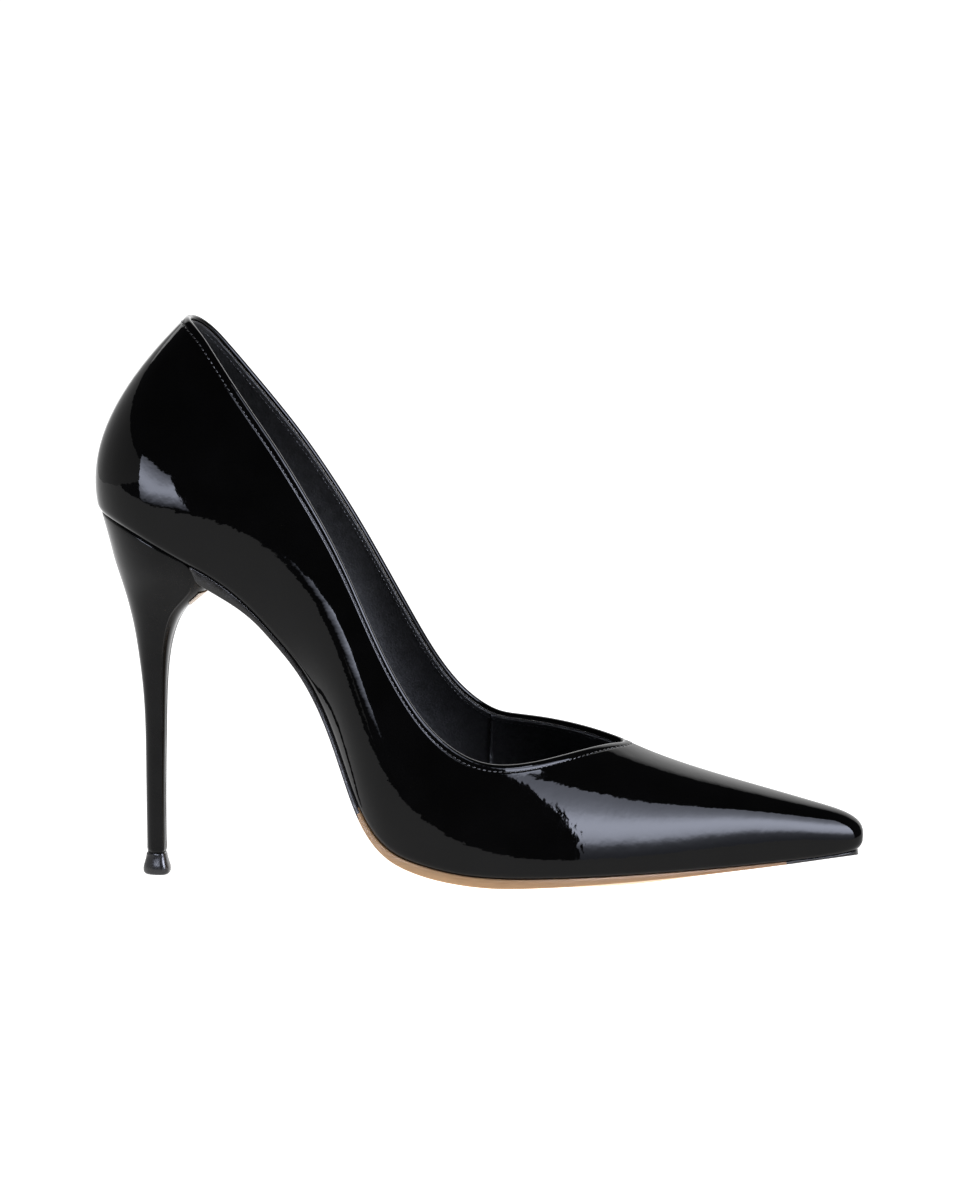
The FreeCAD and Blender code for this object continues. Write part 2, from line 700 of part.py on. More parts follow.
def upper_nodes():
    mid = UPPER + MIDDLE
    low, high = LINING_ROWS
    front = 2.0 - BACKER_END - GAP
    return {
        "upper": full_band(0.0, UPPER, FULL_ROWS),
        "topline_stitching": full_band(-THREAD, 0.0, STITCH_ROWS),
        "topline_tape": patch(GAP, 2.0 - GAP, *TAPE_ROWS, UPPER, mid),
        "heel_counter": patch(-COUNTER_END, COUNTER_END, low, COUNTER_TOP, UPPER, mid),
        "toe_puff": patch(PUFF_START, 2.0 - PUFF_START, low, PUFF_TOP, UPPER, mid),
        "quarter_backer_lateral": patch(-BACKER_END, -COUNTER_END - GAP, low, BACKER_TOP, UPPER, mid),
        "quarter_backer_medial": patch(COUNTER_END + GAP, BACKER_END, low, BACKER_TOP, UPPER, mid),
        "vamp_backer": patch(BACKER_END + GAP, front, VAMP_BACKER_LOW, BACKER_TOP, UPPER, mid),
        "quarter_lining": patch(-BACKER_END, BACKER_END, low, high, mid, WALL),
        "vamp_lining": patch(BACKER_END + GAP, front, low, high, mid, WALL),
    }


def bottom_nodes():
    board_top = MARGIN_STACK + BOARD
    cushion_top = board_top + CUSHION
    inside = WALL + INSIDE_CLEAR
    rivets = [square_to_sole(x, 0.0, board_top, RIVET_RADIUS) for x in RIVETS]
    head = sole_point(SCREW_X, 0.0, board_top)[2]
    screw = upright(SCREW_RADIUS, SCREW_FOOT, head, SCREW_X)
    screw = screw.fuse(upright(SCREW_HEAD, head - SCREW_HEAD_THICK, head, SCREW_X))
    nails = []
    for x, y in NAILS:
        top = sole_point(x, y, board_top)[2]
        nails.append(upright(NAIL_RADIUS, top - NAIL_LENGTH, top, x, y))
    fasteners = rivets + nails + [screw]
    filler_inset = FEATHER_RADIUS + MARGIN + FILLER_CLEAR
    shank = sheet(*SHANK_ENDS, SHANK_LIFT, SHANK_LIFT + SHANK, SHANK_HALF)
    return {
        "outsole": bottom_piece(outsole_face, 0.0, SOLE_INSET, SOLE_END),
        "bottom_filler": bottom_piece(0.0, MARGIN_STACK, filler_inset, *FILLER_ENDS),
        "steel_shank": shank.cut(Part.Compound(fasteners)),
        "insole_board": bottom_piece(MARGIN_STACK, board_top, inside).cut(Part.Compound(fasteners)),
        "shank_board": bottom_piece(board_top, cushion_top, inside, x1=SHANK_BOARD_END),
        "ball_cushion": bottom_piece(board_top, cushion_top, inside, x0=CUSHION_START),
        "sock_lining": bottom_piece(cushion_top, cushion_top + SOCK, inside),
        "shank_rivets": Part.Compound(rivets),
        "heel_screw": screw,
        "heel_nails": Part.Compound(nails),
    }


def heel_nodes(bottom):
    core, cover = heel_pieces()
    tube = upright(TUBE_OUTER, TIP_HEIGHT, TUBE_TOP).cut(upright(TUBE_INNER, TIP_HEIGHT, TUBE_TOP))
    pin = upright(TUBE_INNER, PIN_FOOT, PIN_HEAD)
    held = Part.Compound([upright(TUBE_OUTER, 0.0, TUBE_TOP), bottom["heel_screw"], bottom["heel_nails"]])
    return {
        "heel_core": core.cut(held),
        "heel_cover": cover,
        "sole_tongue": sole_tongue(),
        "heel_tube": tube,
        "top_piece": top_piece().cut(pin),
        "top_piece_pin": pin,
    }


def main():
    os.makedirs("parts", exist_ok=True)
    bottom = bottom_nodes()
    nodes = {**upper_nodes(), **bottom, **heel_nodes(bottom)}
    for name, shape in nodes.items():
        solids = shape.Solids
        body = solids[0] if len(solids) == 1 else Part.Compound(solids)
        body.exportStep("parts/%s.step" % name)
        print("%-24s %2d solids, valid %s, %9.1f mm3" % (name, len(solids), body.isValid(), body.Volume))


main()
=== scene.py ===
import bpy
import functools
import math
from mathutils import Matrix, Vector


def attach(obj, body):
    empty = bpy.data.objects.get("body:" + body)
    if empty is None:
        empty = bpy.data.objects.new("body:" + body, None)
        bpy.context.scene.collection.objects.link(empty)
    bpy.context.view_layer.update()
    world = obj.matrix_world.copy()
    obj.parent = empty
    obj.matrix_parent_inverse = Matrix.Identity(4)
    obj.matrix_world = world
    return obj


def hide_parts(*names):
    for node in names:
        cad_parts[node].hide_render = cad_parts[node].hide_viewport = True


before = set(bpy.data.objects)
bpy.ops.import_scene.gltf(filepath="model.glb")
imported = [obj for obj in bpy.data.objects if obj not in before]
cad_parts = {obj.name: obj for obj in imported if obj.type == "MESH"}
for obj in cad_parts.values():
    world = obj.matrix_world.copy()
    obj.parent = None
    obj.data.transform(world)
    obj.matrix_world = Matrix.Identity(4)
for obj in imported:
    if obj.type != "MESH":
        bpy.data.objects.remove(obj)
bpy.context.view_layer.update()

# A high heel pump in black patent leather, right foot. The shape is worked out in
# millimetres by the same rules as the CAD part, and meshes are made in metres.

# Leather, board and sole thicknesses, from the outside in
UPPER = 1.1
MIDDLE = 0.8
LINING = 0.8
WALL = UPPER + MIDDLE + LINING
MARGIN_STACK = UPPER + MIDDLE
BOARD = 1.2
CUSHION = 1.2
SOCK = 0.8
OUTSOLE = 3.4
OUTSOLE_EDGE = 3.0
WAIST_SOLE = 2.0
WAIST_EDGE = 1.6
TOE_THINNER = 1.9          # how much thinner the outsole is under the toe
TOE_EDGE_THINNER = 2.55
BREAST_THICKER = 2.6       # how much thicker it is where it runs over the heel
BREAST_EDGE_THINNER = 0.9
BREAST_LIP = 2.6           # how much thicker its edge is just in front of the heel
BREAST_LIP_AT = -80.0
BREAST_LIP_END = -62.0
TREAD = 0.08               # share of the sole's width that is flat
TREAD_POWER = 1.35         # how fast the sole rises to its edges

# Upper
FEATHER_RADIUS = 2.0
MARGIN = 7.0
MEDIAL_WAIST = 0.86

# The wall is counted from 0 at the back of the heel to 1 at the toe, and its height from 1 to 2
BACKER_END = 0.6

# Heel
COVER = 0.8
TIP_HEIGHT = 6.6
PIN_X = -98.2
SOLE_END = -84.0
SOLE_INSET = 0.9           # the outsole's edge stands this far inside the feather line
TONGUE = 0.4
TONGUE_CLEAR = 0.05
TONGUE_ROWS = (82.8, 87.2)  # heights of the ends of the sole leather's tongue
TONGUE_REACH = 0.78         # its half width, as a share of the breast's
FRONT_POWER = 3.6           # how square the front of the heel's section is
# Half length of the top piece at each height, and its width against its length
TIP_HALF = [(0.0, 3.5), (0.3, 3.85), (0.9, 4.1), (2.0, 4.1), (3.2, 3.8), (4.6, 3.4), (5.8, 3.15),
            (TIP_HEIGHT, 3.1)]
TIP_WIDTH = 0.95
# The heel from the side and from behind: height, place or half width
HEEL_BACK = [(0.0, -101.1), (12.0, -101.1), (30.0, -101.2), (48.0, -101.4), (59.0, -102.1), (66.0, -102.9),
             (77.0, -104.6), (88.0, -107.4), (95.0, -109.5), (103.0, -111.5), (110.0, -113.4),
             (114.0, -114.4), (120.0, -115.6)]
HEEL_FRONT = [(0.0, -95.3), (30.0, -95.2), (48.0, -94.8), (59.0, -94.4), (66.0, -93.8), (73.5, -92.3),
              (77.5, -90.8), (81.0, -88.6), (84.5, -84.8), (88.0, -81.0), (95.0, -79.5), (120.0, -79.5)]
HEEL_HALF = [(0.0, 3.4), (12.0, 3.4), (40.0, 3.4), (58.0, 4.0), (70.0, 6.0), (80.0, 9.6), (88.0, 14.0),
             (95.0, 18.2), (103.0, 21.0), (110.0, 21.6), (120.0, 21.6)]

# The feather line, where the upper meets the sole, seen from the side: x, height
FEATHER_Z = [(-122.0, 113.2), (-114.0, 112.0), (-106.0, 109.0), (-94.0, 102.4), (-81.0, 95.0), (-70.0, 86.9),
             (-59.0, 75.0), (-50.0, 63.2), (-41.0, 45.0), (-34.0, 27.5), (-27.0, 17.2), (-17.0, 11.9),
             (0.0, 8.5), (25.0, 7.6), (55.0, 7.8), (88.0, 9.2), (113.0, 11.9), (122.0, 13.6)]
# The middle of the sole's upper face: x, height
CENTRE_Z = [(-122.0, 112.6), (-114.0, 111.4), (-106.0, 108.0), (-94.0, 101.0), (-81.0, 93.2), (-70.0, 84.6),
            (-59.0, 72.4), (-50.0, 60.0), (-41.0, 41.5), (-34.0, 24.0), (-27.0, 13.4), (-17.0, 6.6),
            (-6.0, 3.8), (2.0, OUTSOLE), (10.0, OUTSOLE), (24.0, OUTSOLE), (34.0, OUTSOLE), (44.0, 3.7),
            (54.0, 4.6), (66.0, 6.0), (88.0, 8.5), (113.0, 11.7), (122.0, 13.4)]
# Half width of the sole without its round ends: x, width
HALF_WIDTH = [(-122.0, 22.0), (-100.0, 21.5), (-84.0, 21.0), (-66.0, 18.2), (-50.0, 16.4), (-40.0, 20.0),
              (-30.0, 28.0), (-14.0, 35.0), (4.0, 37.0), (24.0, 34.5), (44.0, 28.0), (66.0, 19.5),
              (88.0, 12.0), (106.0, 7.4), (122.0, 6.0)]

# Control net of the shoe form, outer side, from the back of the heel to the toe tip.
# Each column is one rib: sole edge (x, y), low side (x, y, z), high side (x, y, z), crest (x, z).
# Behind the throat the crest is only a guide: the topline cuts the rib below it.
NET = [((-114.2, 0.0), (-117.4, 0.0, 128.0), (-113.2, 0.0, 150.5), (-68.5, 185.5)),
       ((-114.2, 9.6), (-117.4, 11.5, 128.0), (-113.2, 9.5, 150.5), (-68.5, 185.5)),
       ((-109.0, 18.3), (-111.5, 22.5, 127.0), (-106.5, 18.5, 152.5), (-68.3, 185.0)),
       ((-99.0, 22.4), (-101.5, 28.5, 124.0), (-96.2, 24.0, 153.0), (-67.5, 182.0)),
       ((-87.0, 22.6), (-89.5, 29.2, 119.0), (-83.5, 26.5, 149.0), (-64.0, 177.0)),
       ((-74.0, 20.0), (-76.0, 27.8, 111.0), (-70.0, 28.0, 142.0), (-56.0, 169.0)),
       ((-62.0, 17.6), (-63.0, 27.0, 101.0), (-57.0, 29.0, 131.0), (-46.0, 158.0)),
       ((-51.5, 16.4), (-52.0, 27.4, 87.0), (-46.0, 30.0, 118.0), (-36.0, 144.0)),
       ((-43.5, 18.0), (-43.0, 29.6, 72.0), (-37.0, 31.0, 104.0), (-27.0, 128.0)),
       ((-36.0, 24.0), (-35.0, 33.6, 54.0), (-30.0, 33.0, 88.0), (-19.0, 111.0)),
       ((-27.0, 31.0), (-26.0, 37.5, 36.0), (-21.0, 35.5, 72.0), (-10.0, 94.0)),
       ((-14.5, 36.0), (-13.5, 39.0, 27.0), (-9.0, 36.0, 58.0), (0.0, 77.0)),
       ((2.0, 38.0), (3.0, 39.5, 23.0), (7.0, 34.0, 49.0), (14.0, 61.0)),
       ((22.0, 36.0), (23.0, 37.5, 21.0), (27.0, 26.0, 45.5), (31.0, 50.0)),
       ((43.0, 29.0), (44.0, 30.6, 20.5), (47.0, 18.6, 39.5), (48.0, 41.0)),
       ((64.0, 20.8), (65.0, 21.8, 21.0), (66.5, 14.8, 33.6), (67.0, 34.8)),
       ((84.0, 13.5), (84.5, 14.4, 20.4), (85.5, 11.4, 28.6), (86.0, 29.8)),
       ((100.5, 8.8), (101.0, 9.8, 18.8), (102.0, 7.8, 24.4), (102.0, 25.4)),
       ((110.5, 6.2), (111.8, 6.9, 16.8), (112.2, 4.6, 21.6), (112.2, 22.6)),
       ((114.0, 3.2), (115.8, 3.2, 14.8), (115.8, 2.0, 17.4), (115.8, 18.0)),
       ((114.0, 0.0), (114.0, 0.0, 12.4), (114.0, 0.0, 12.4), (114.0, 12.4))]

# Control points of the outer topline, one for each rib of the net
TOPLINE = [(-87.0, 0.0, 169.6), (-87.0, 4.4, 169.6), (-82.4, 10.0, 165.8), (-74.2, 16.0, 155.4),
           (-66.0, 19.2, 144.4), (-57.0, 21.2, 132.4), (-48.5, 22.2, 118.5), (-41.0, 23.0, 105.5),
           (-34.5, 24.0, 92.0), (-27.5, 26.0, 76.0), (-19.0, 29.0, 61.0), (-9.0, 32.0, 49.0),
           (3.0, 32.0, 41.6), (14.0, 28.0, 41.0), (23.0, 22.0, 41.8), (30.5, 15.5, 42.8), (36.5, 9.5, 43.5),
           (40.5, 5.0, 43.6), (42.4, 2.6, 43.4), (43.0, 1.2, 43.4), (43.0, 0.0, 43.4)]

# How far the inner topline stands above the outer one: place along it, rise
MEDIAL_RISE = [(0.0, 0.0), (0.06, 0.3), (0.15, 1.9), (0.3, 3.8), (0.37, 5.0), (0.44, 7.0), (0.5, 7.4),
               (0.55, 7.9), (0.6, 9.2), (0.66, 10.6), (0.71, 10.4), (0.76, 8.5), (0.82, 5.2), (0.89, 1.9),
               (0.95, 0.4), (1.0, 0.0)]

SPANS = len(NET) - 3


# --- Small curve tools ---

def smooth_curve(points):
    """A natural cubic spline through (x, value) points, as a function of x."""
    xs = [p[0] for p in points]
    ys = [p[1] for p in points]
    n = len(xs)
    h = [xs[i + 1] - xs[i] for i in range(n - 1)]
    upper = [0.0] * n
    bend = [0.0] * n
    for i in range(1, n - 1):
        load = 6.0 * ((ys[i + 1] - ys[i]) / h[i] - (ys[i] - ys[i - 1]) / h[i - 1])
        pivot = 2.0 * (h[i - 1] + h[i]) - h[i - 1] * upper[i - 1]
        upper[i] = h[i] / pivot
        bend[i] = (load - h[i - 1] * bend[i - 1]) / pivot
    for i in range(n - 2, 0, -1):
        bend[i] -= upper[i] * bend[i + 1]

    def value(x):
        i = 0
        while i < n - 2 and x > xs[i + 1]:
            i += 1
        a = (xs[i + 1] - x) / h[i]
        b = 1.0 - a
        curve = ((a ** 3 - a) * bend[i] + (b ** 3 - b) * bend[i + 1]) * h[i] ** 2 / 6.0
        return a * ys[i] + b * ys[i + 1] + curve
    return value


def span_weights(u):
    """The four B-spline weights at u, with the first control point they belong to."""
    place = min(max(u, 0.0), 1.0) * SPANS
    first = min(int(place), SPANS - 1)
    knots = [min(max(k, 0), SPANS) for k in range(first - 2, first + 4)]
    weights = [1.0]
    for degree in (1, 2, 3):
        grown = [0.0] * (degree + 1)
        for k in range(degree):
            low = knots[3 - degree + k]
            high = knots[3 + k]
            share = (place - low) / (high - low)
            grown[k] += weights[k] * (1.0 - share)
            grown[k + 1] += weights[k] * share
        weights = grown
    return first, weights


def along(columns, u):
    """The point of a B-spline row at u."""
    first, weights = span_weights(u)
    size = len(columns[0])
    return [sum(weights[k] * columns[first + k][c] for k in range(4)) for c in range(size)]


feather_z = smooth_curve(FEATHER_Z)
centre_z = smooth_curve(CENTRE_Z)
half_width = smooth_curve(HALF_WIDTH)
medial_rise = smooth_curve(MEDIAL_RISE)

EDGE_ROW = [c[0] for c in NET]
LOW_ROW = [c[1] for c in NET]
HIGH_ROW = [c[2] for c in NET]
CREST_ROW = [(c[3][0], 0.0, c[3][1]) for c in NET]


# --- The shoe form ---

def add(p, q, scale=1.0):
    return [p[k] + scale * q[k] for k in range(3)]


def away(p, q):
    return [q[k] - p[k] for k in range(3)]


def size_of(p):
    return math.sqrt(p[0] ** 2 + p[1] ** 2 + p[2] ** 2)


def dot(p, q):
    return p[0] * q[0] + p[1] * q[1] + p[2] * q[2]


def cross(p, q):
    return [p[1] * q[2] - p[2] * q[1], p[2] * q[0] - p[0] * q[2], p[0] * q[1] - p[1] * q[0]]


def unit(p):
    length = max(size_of(p), 1e-9)
    return [c / length for c in p]


def blend(x, start, end):
    """0 before start, 1 after end, smooth between."""
    t = min(max((x - start) / (end - start), 0.0), 1.0)
    return t * t * (3.0 - 2.0 * t)


def waist_share(x, side):
    """The inner side of the waist is drawn in, the outer side is not."""
    if side < 0:
        return 1.0
    return 1.0 - (1.0 - MEDIAL_WAIST) * blend(x, -88.0, -60.0) * (1.0 - blend(x, -34.0, -6.0))


def sole_z(x, y):
    """Height of the sole's upper face: flat across its middle, rising to the feather line."""
    rise = max(0.0, abs(y) / half_width(x) - TREAD) / (1.0 - TREAD)
    return centre_z(x) + (feather_z(x) - centre_z(x)) * min(rise, 1.25) ** TREAD_POWER


@functools.lru_cache(maxsize=None)
def edge_point(u, side):
    x, y = along(EDGE_ROW, u)
    return x, side * y * waist_share(x, side), feather_z(x)


def rib(u, side):
    """The four control points of the rib at u."""
    low = along(LOW_ROW, u)
    high = along(HIGH_ROW, u)
    crest = along(CREST_ROW, u)
    edge = edge_point(u, side)
    share = 0.5 + 0.5 * waist_share(edge[0], side)
    return edge, [low[0], side * low[1] * share, low[2]], [high[0], side * high[1], high[2]], crest


def form(u, v, side):
    """A point of the shoe form: v runs from the sole edge, 0, to the crest, 1."""
    a, b, c, d = rib(u, side)
    w = 1.0 - v
    return [w ** 3 * a[k] + 3 * w * w * v * b[k] + 3 * w * v * v * c[k] + v ** 3 * d[k] for k in range(3)]


@functools.lru_cache(maxsize=None)
def girth(u):
    a, b, c, d = rib(u, -1)
    return size_of(away(a, b)) + size_of(away(b, c)) + size_of(away(c, d))


def topline_guide(t, side):
    """A point of the topline. The inner side stands higher, square to the line seen from the side."""
    x, y, z = along(TOPLINE, t)
    if side < 0:
        return [x, -y, z]
    before = along(TOPLINE, max(t - 0.01, 0.0))
    after = along(TOPLINE, min(t + 0.01, 1.0))
    run = math.hypot(after[0] - before[0], after[2] - before[2])
    rise = medial_rise(t)
    return [x - rise * (after[2] - before[2]) / run, y, z + rise * (after[0] - before[0]) / run]


def drop_on_form(target, u, v, side):
    """The (u, v) of the form's point nearest to the target, from a first guess."""
    step = 1e-4
    for _ in range(12):
        u = min(max(u, 0.0), 1.0 - step)
        v = min(max(v, 0.0), 1.0 - step)
        here = form(u, v, side)
        du = [c / step for c in away(here, form(u + step, v, side))]
        dv = [c / step for c in away(here, form(u, v + step, side))]
        gap = away(here, target)
        uu, uv, vv = dot(du, du), dot(du, dv), dot(dv, dv)
        gu, gv = dot(gap, du), dot(gap, dv)
        det = max(uu * vv - uv * uv, 1e-6)
        u += 0.8 * (gu * vv - gv * uv) / det
        v += 0.8 * (gv * uu - gu * uv) / det
    return min(max(u, 0.0), 1.0), min(max(v, 0.0), 1.0)


def topline_on_form(side):
    """Two functions of t: the rib that the topline crosses, and how far below the crest."""
    ribs = []
    depths = []
    u, v = 0.0, 0.86
    for i in range(49):
        t = i / 48.0
        if t == 1.0:
            u, v = drop_on_form(topline_guide(t, side), u, 1.0, side)
            v = 1.0
        else:
            u, v = drop_on_form(topline_guide(t, side), u, v, side)
        ribs.append((t, u))
        depths.append((t, girth(u) * (1.0 - v)))
    return smooth_curve(ribs), smooth_curve(depths)


TOP = {-1: topline_on_form(-1), 1: topline_on_form(1)}


def around(h):
    """h counts round the shoe: 0 at the back of the heel, +1 and -1 at the toe, + on the inner side."""
    while h > 1.0:
        h -= 2.0
    while h < -1.0:
        h += 2.0
    side = 1 if h >= 0.0 else -1
    return abs(h), side


def wall(h, t):
    """A point of the upper's outer face between the sole edge, t = 0, and the topline, t = 1."""
    theta, side = around(h)
    u_top, depth_top = TOP[side][0](theta), TOP[side][1](theta)
    u = theta + (u_top - theta) * t
    whole = girth(theta)
    depth = whole + (depth_top - whole) * t
    reach = girth(u)
    v = 1.0 if reach < 1e-6 else 1.0 - depth / reach
    return form(u, min(max(v, 0.0), 1.0), side)


def edge_normal(h):
    """The outward normal of the sole's outline, seen from above."""
    before = edge_point(*around(h - 0.004))
    after = edge_point(*around(h + 0.004))
    flat = unit([after[0] - before[0], after[1] - before[1], 0.0])
    return [-flat[1], flat[0], 0.0]


def margin_width(h):
    theta = around(h)[0]
    return MARGIN * (1.0 - 0.8 * blend(theta, 0.86, 0.98)) * (1.0 - 0.25 * blend(theta, 0.1, 0.3))


@functools.lru_cache(maxsize=None)
def feather_share(h):
    """The share of the wall that the round turn at the feather line takes."""
    near = 0.05
    return FEATHER_RADIUS * near / size_of(away(edge_point(*around(h)), wall(h, near)))


def profile(h, r):
    """The upper's outer face: r = -1 to 0 under the insole, 0 to 1 round the feather, 1 to 2 up the wall."""
    corner = edge_point(*around(h))
    turn = feather_share(h)
    if r >= 1.0:
        return wall(h, turn + (1.0 - turn) * (r - 1.0))
    normal = edge_normal(h)
    inward = FEATHER_RADIUS + max(-r, 0.0) * margin_width(h)
    low = add(corner, normal, -inward)
    low[2] = sole_z(low[0], low[1])
    if r <= 0.0:
        return low
    high = wall(h, turn)
    return [(1 - r) ** 2 * low[k] + 2 * (1 - r) * r * corner[k] + r * r * high[k] for k in range(3)]


def layer(h, r, depth):
    """A point of the upper, depth below its outer face."""
    here = profile(h, r)
    if depth == 0.0:
        return here
    step = 2e-3
    round_it = away(profile(h - step, r), profile(h + step, r))
    up_it = away(profile(h, max(r - step, -1.0)), profile(h, min(r + step, 2.0)))
    return add(here, unit(cross(up_it, round_it)), -depth)


def steps(start, end, count):
    return [start + (end - start) * i / (count - 1) for i in range(count)]


# --- The sole's thickness and outline ---

def sole_point(x, y, height):
    """A point square above the sole's upper face, or below it where height is negative."""
    slope = (sole_z(x + 0.5, y) - sole_z(x - 0.5, y))
    scale = height / math.hypot(1.0, slope)
    return [x - slope * scale, y, sole_z(x, y) + scale]


def outsole_face(x, share):
    """Height of the outsole's lower face. The outsole thins towards the waist and towards its edges."""
    waist = 1.0 - blend(x, -38.0, -12.0)
    toe = blend(x, 36.0, 100.0)
    thinning = min(max((x - 8.0) / 100.0, 0.0), 1.0)
    breast = 1.0 - blend(x, SOLE_END, SOLE_END + 15.0)
    middle = OUTSOLE + (WAIST_SOLE - OUTSOLE) * waist + BREAST_THICKER * breast - TOE_THINNER * toe
    edge = OUTSOLE_EDGE + (WAIST_EDGE - OUTSOLE_EDGE) * waist
    lip = blend(x, SOLE_END, BREAST_LIP_AT) * (1.0 - blend(x, BREAST_LIP_AT, BREAST_LIP_END))
    edge += BREAST_LIP * lip - BREAST_EDGE_THINNER * breast - TOE_EDGE_THINNER * thinning
    side = max(0.0, abs(share) - TREAD) / (1.0 - TREAD)
    return -middle - (edge - middle) * min(side, 1.2) ** TREAD_POWER


def outline_point(h, inset):
    return add(edge_point(*around(h)), edge_normal(h), -inset)[:2]


def last_true(low, high, rounds, test):
    """The last place between low and high where the test holds, found by halving."""
    for _ in range(rounds):
        middle = 0.5 * (low + high)
        if test(middle):
            low = middle
        else:
            high = middle
    return low


def share_at(x, inset):
    """How far along the outline, from heel to toe, the drawn-in outline passes x."""
    return last_true(0.0, 1.0, 40, lambda h: outline_point(h, inset)[0] < x)


heel_back = smooth_curve(HEEL_BACK)
heel_front = smooth_curve(HEEL_FRONT)
heel_half = smooth_curve(HEEL_HALF)


def d_shape(angle, back, front, half, square=FRONT_POWER):
    """A point of a D-shaped section, round at the back, squarer at the front."""
    middle = back + 0.58 * (front - back)
    c, s = math.cos(angle), math.sin(angle)
    power = 2.0 / (2.0 if c < 0 else square)
    reach = front - middle if c > 0 else middle - back
    return middle + reach * math.copysign(abs(c) ** power, c), half * math.copysign(abs(s) ** power, s)


# --- Meshes from columns of points ---

MM = 0.001


def put(name, data):
    thing = bpy.data.objects.new(name, data)
    bpy.context.scene.collection.objects.link(thing)
    return thing


def mesh_piece(name, points, faces, slots, face_slots=None):
    """A smooth mesh in metres, riding on the shoe, its faces turned outwards."""
    volume = 0.0
    for face in faces:
        a = points[face[0]]
        for i in range(1, len(face) - 1):
            volume += dot(a, cross(points[face[i]], points[face[i + 1]]))
    if volume < 0.0:
        faces = [tuple(reversed(face)) for face in faces]
    mesh = bpy.data.meshes.new(name)
    mesh.from_pydata([[MM * c for c in p] for p in points], [], faces)
    for material in slots:
        mesh.materials.append(material)
    mesh.polygons.foreach_set("use_smooth", [len(face) < 5 for face in faces])
    if face_slots:
        mesh.polygons.foreach_set("material_index", face_slots)
    mesh.update()
    piece = put(name, mesh)
    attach(piece, "root")
    return piece


def ring_faces(a, b, size):
    """Faces between two loops of points that begin at a and at b."""
    return [(a + j, a + (j + 1) % size, b + (j + 1) % size, b + j) for j in range(size)]


def loft(columns, closed):
    """Points and faces of a tube through closed loops of points. An open tube gets flat ends."""
    size = len(columns[0])
    count = len(columns)
    points = [p for column in columns for p in column]
    faces = []
    for i in range(count if closed else count - 1):
        faces += ring_faces(i * size, (i + 1) % count * size, size)
    if not closed:
        for base, flip in ((0, False), ((count - 1) * size, True)):
            for j in range(size // 2 - 1):
                face = (base + j, base + size - 1 - j, base + size - 2 - j, base + j + 1)
                faces.append(tuple(reversed(face)) if flip else face)
    return points, faces


def nearer(count, share=0.6):
    """Places once round the shoe, closer together at the back of the heel and at the toe."""
    even = [2.0 * i / count for i in range(count)]
    return [s - share * math.sin(2.0 * math.pi * s) / (2.0 * math.pi) for s in even]


def top_pace(h):
    """Millimetres of wall for each unit of its height, near the topline."""
    return size_of(away(profile(h, 1.98), profile(h, 2.0))) / 0.02


# --- The upper: one skin of patent leather, folded over at the topline ---

FOLD = 0.95                # half the thickness of the folded edge
TOP_BAND = 4.6             # width of the finely divided band under the topline
STITCH_DROP = 2.6          # the stitches lie this far below the topline
GROOVE = 0.14
PUFF = 0.07
SEAM_DEPTH = 0.22
SEAM_WIDTH = 0.28
SEAM_LIP = 0.08            # the leather stands out this much on each side of the seam
ROUND_BACK = 250.0         # millimetres for one unit of h, at the back of the heel


def bump(x, width):
    return math.exp(-(x / width) ** 2)


def seam(h):
    """Depth of the closed back seam."""
    near = abs(around(h)[0]) * ROUND_BACK
    return SEAM_DEPTH * bump(near, SEAM_WIDTH) - SEAM_LIP * bump(near - 0.75, 0.4)


def upper_column(h):
    pace = top_pace(h)
    fold_row = 2.0 - FOLD / pace
    band_row = 2.0 - TOP_BAND / pace
    column = [layer(h, r, 0.0) for r in (-1.0, -0.8, -0.6, -0.4, -0.2, 0.0, 0.2, 0.4, 0.6, 0.8)]
    cut = seam(h)
    for t in steps(0.0, 1.0, 36)[:-1]:
        column.append(layer(h, 1.0 + (band_row - 1.0) * t, cut))
    for drop in (4.6, 4.0, 3.5, 3.2, 2.95, 2.75, 2.6, 2.45, 2.25, 2.0, 1.7, 1.4, 1.15, 0.95):
        depth = GROOVE * bump(drop - STITCH_DROP, 0.3) - PUFF * bump(drop - 1.6, 0.55) + cut
        column.append(layer(h, 2.0 - drop / pace, depth))
    centre = layer(h, fold_row, FOLD)
    out = unit(away(centre, layer(h, fold_row, 0.0)))
    up = unit(away(profile(h, fold_row), profile(h, 2.0)))
    for angle in steps(0.0, math.pi, 11)[1:]:
        column.append(add(add(centre, out, (FOLD - cut) * math.cos(angle)), up, FOLD * math.sin(angle)))
    column.append(layer(h, fold_row - 0.4 / pace, UPPER))
    for r in steps(fold_row - 1.2 / pace, 1.0, 12):
        column.append(layer(h, r, UPPER))
    column += [layer(h, r, UPPER) for r in (0.7, 0.35, 0.0, -0.4, -0.8, -1.0)]
    return column


BACK = [-0.0042, -0.003, -0.0021, -0.0013, -0.0006, 0.0, 0.0006, 0.0013, 0.0021, 0.003, 0.0042]
AROUND = BACK + [h for h in nearer(400) if 0.006 < h < 1.994]


# --- Stitches ---

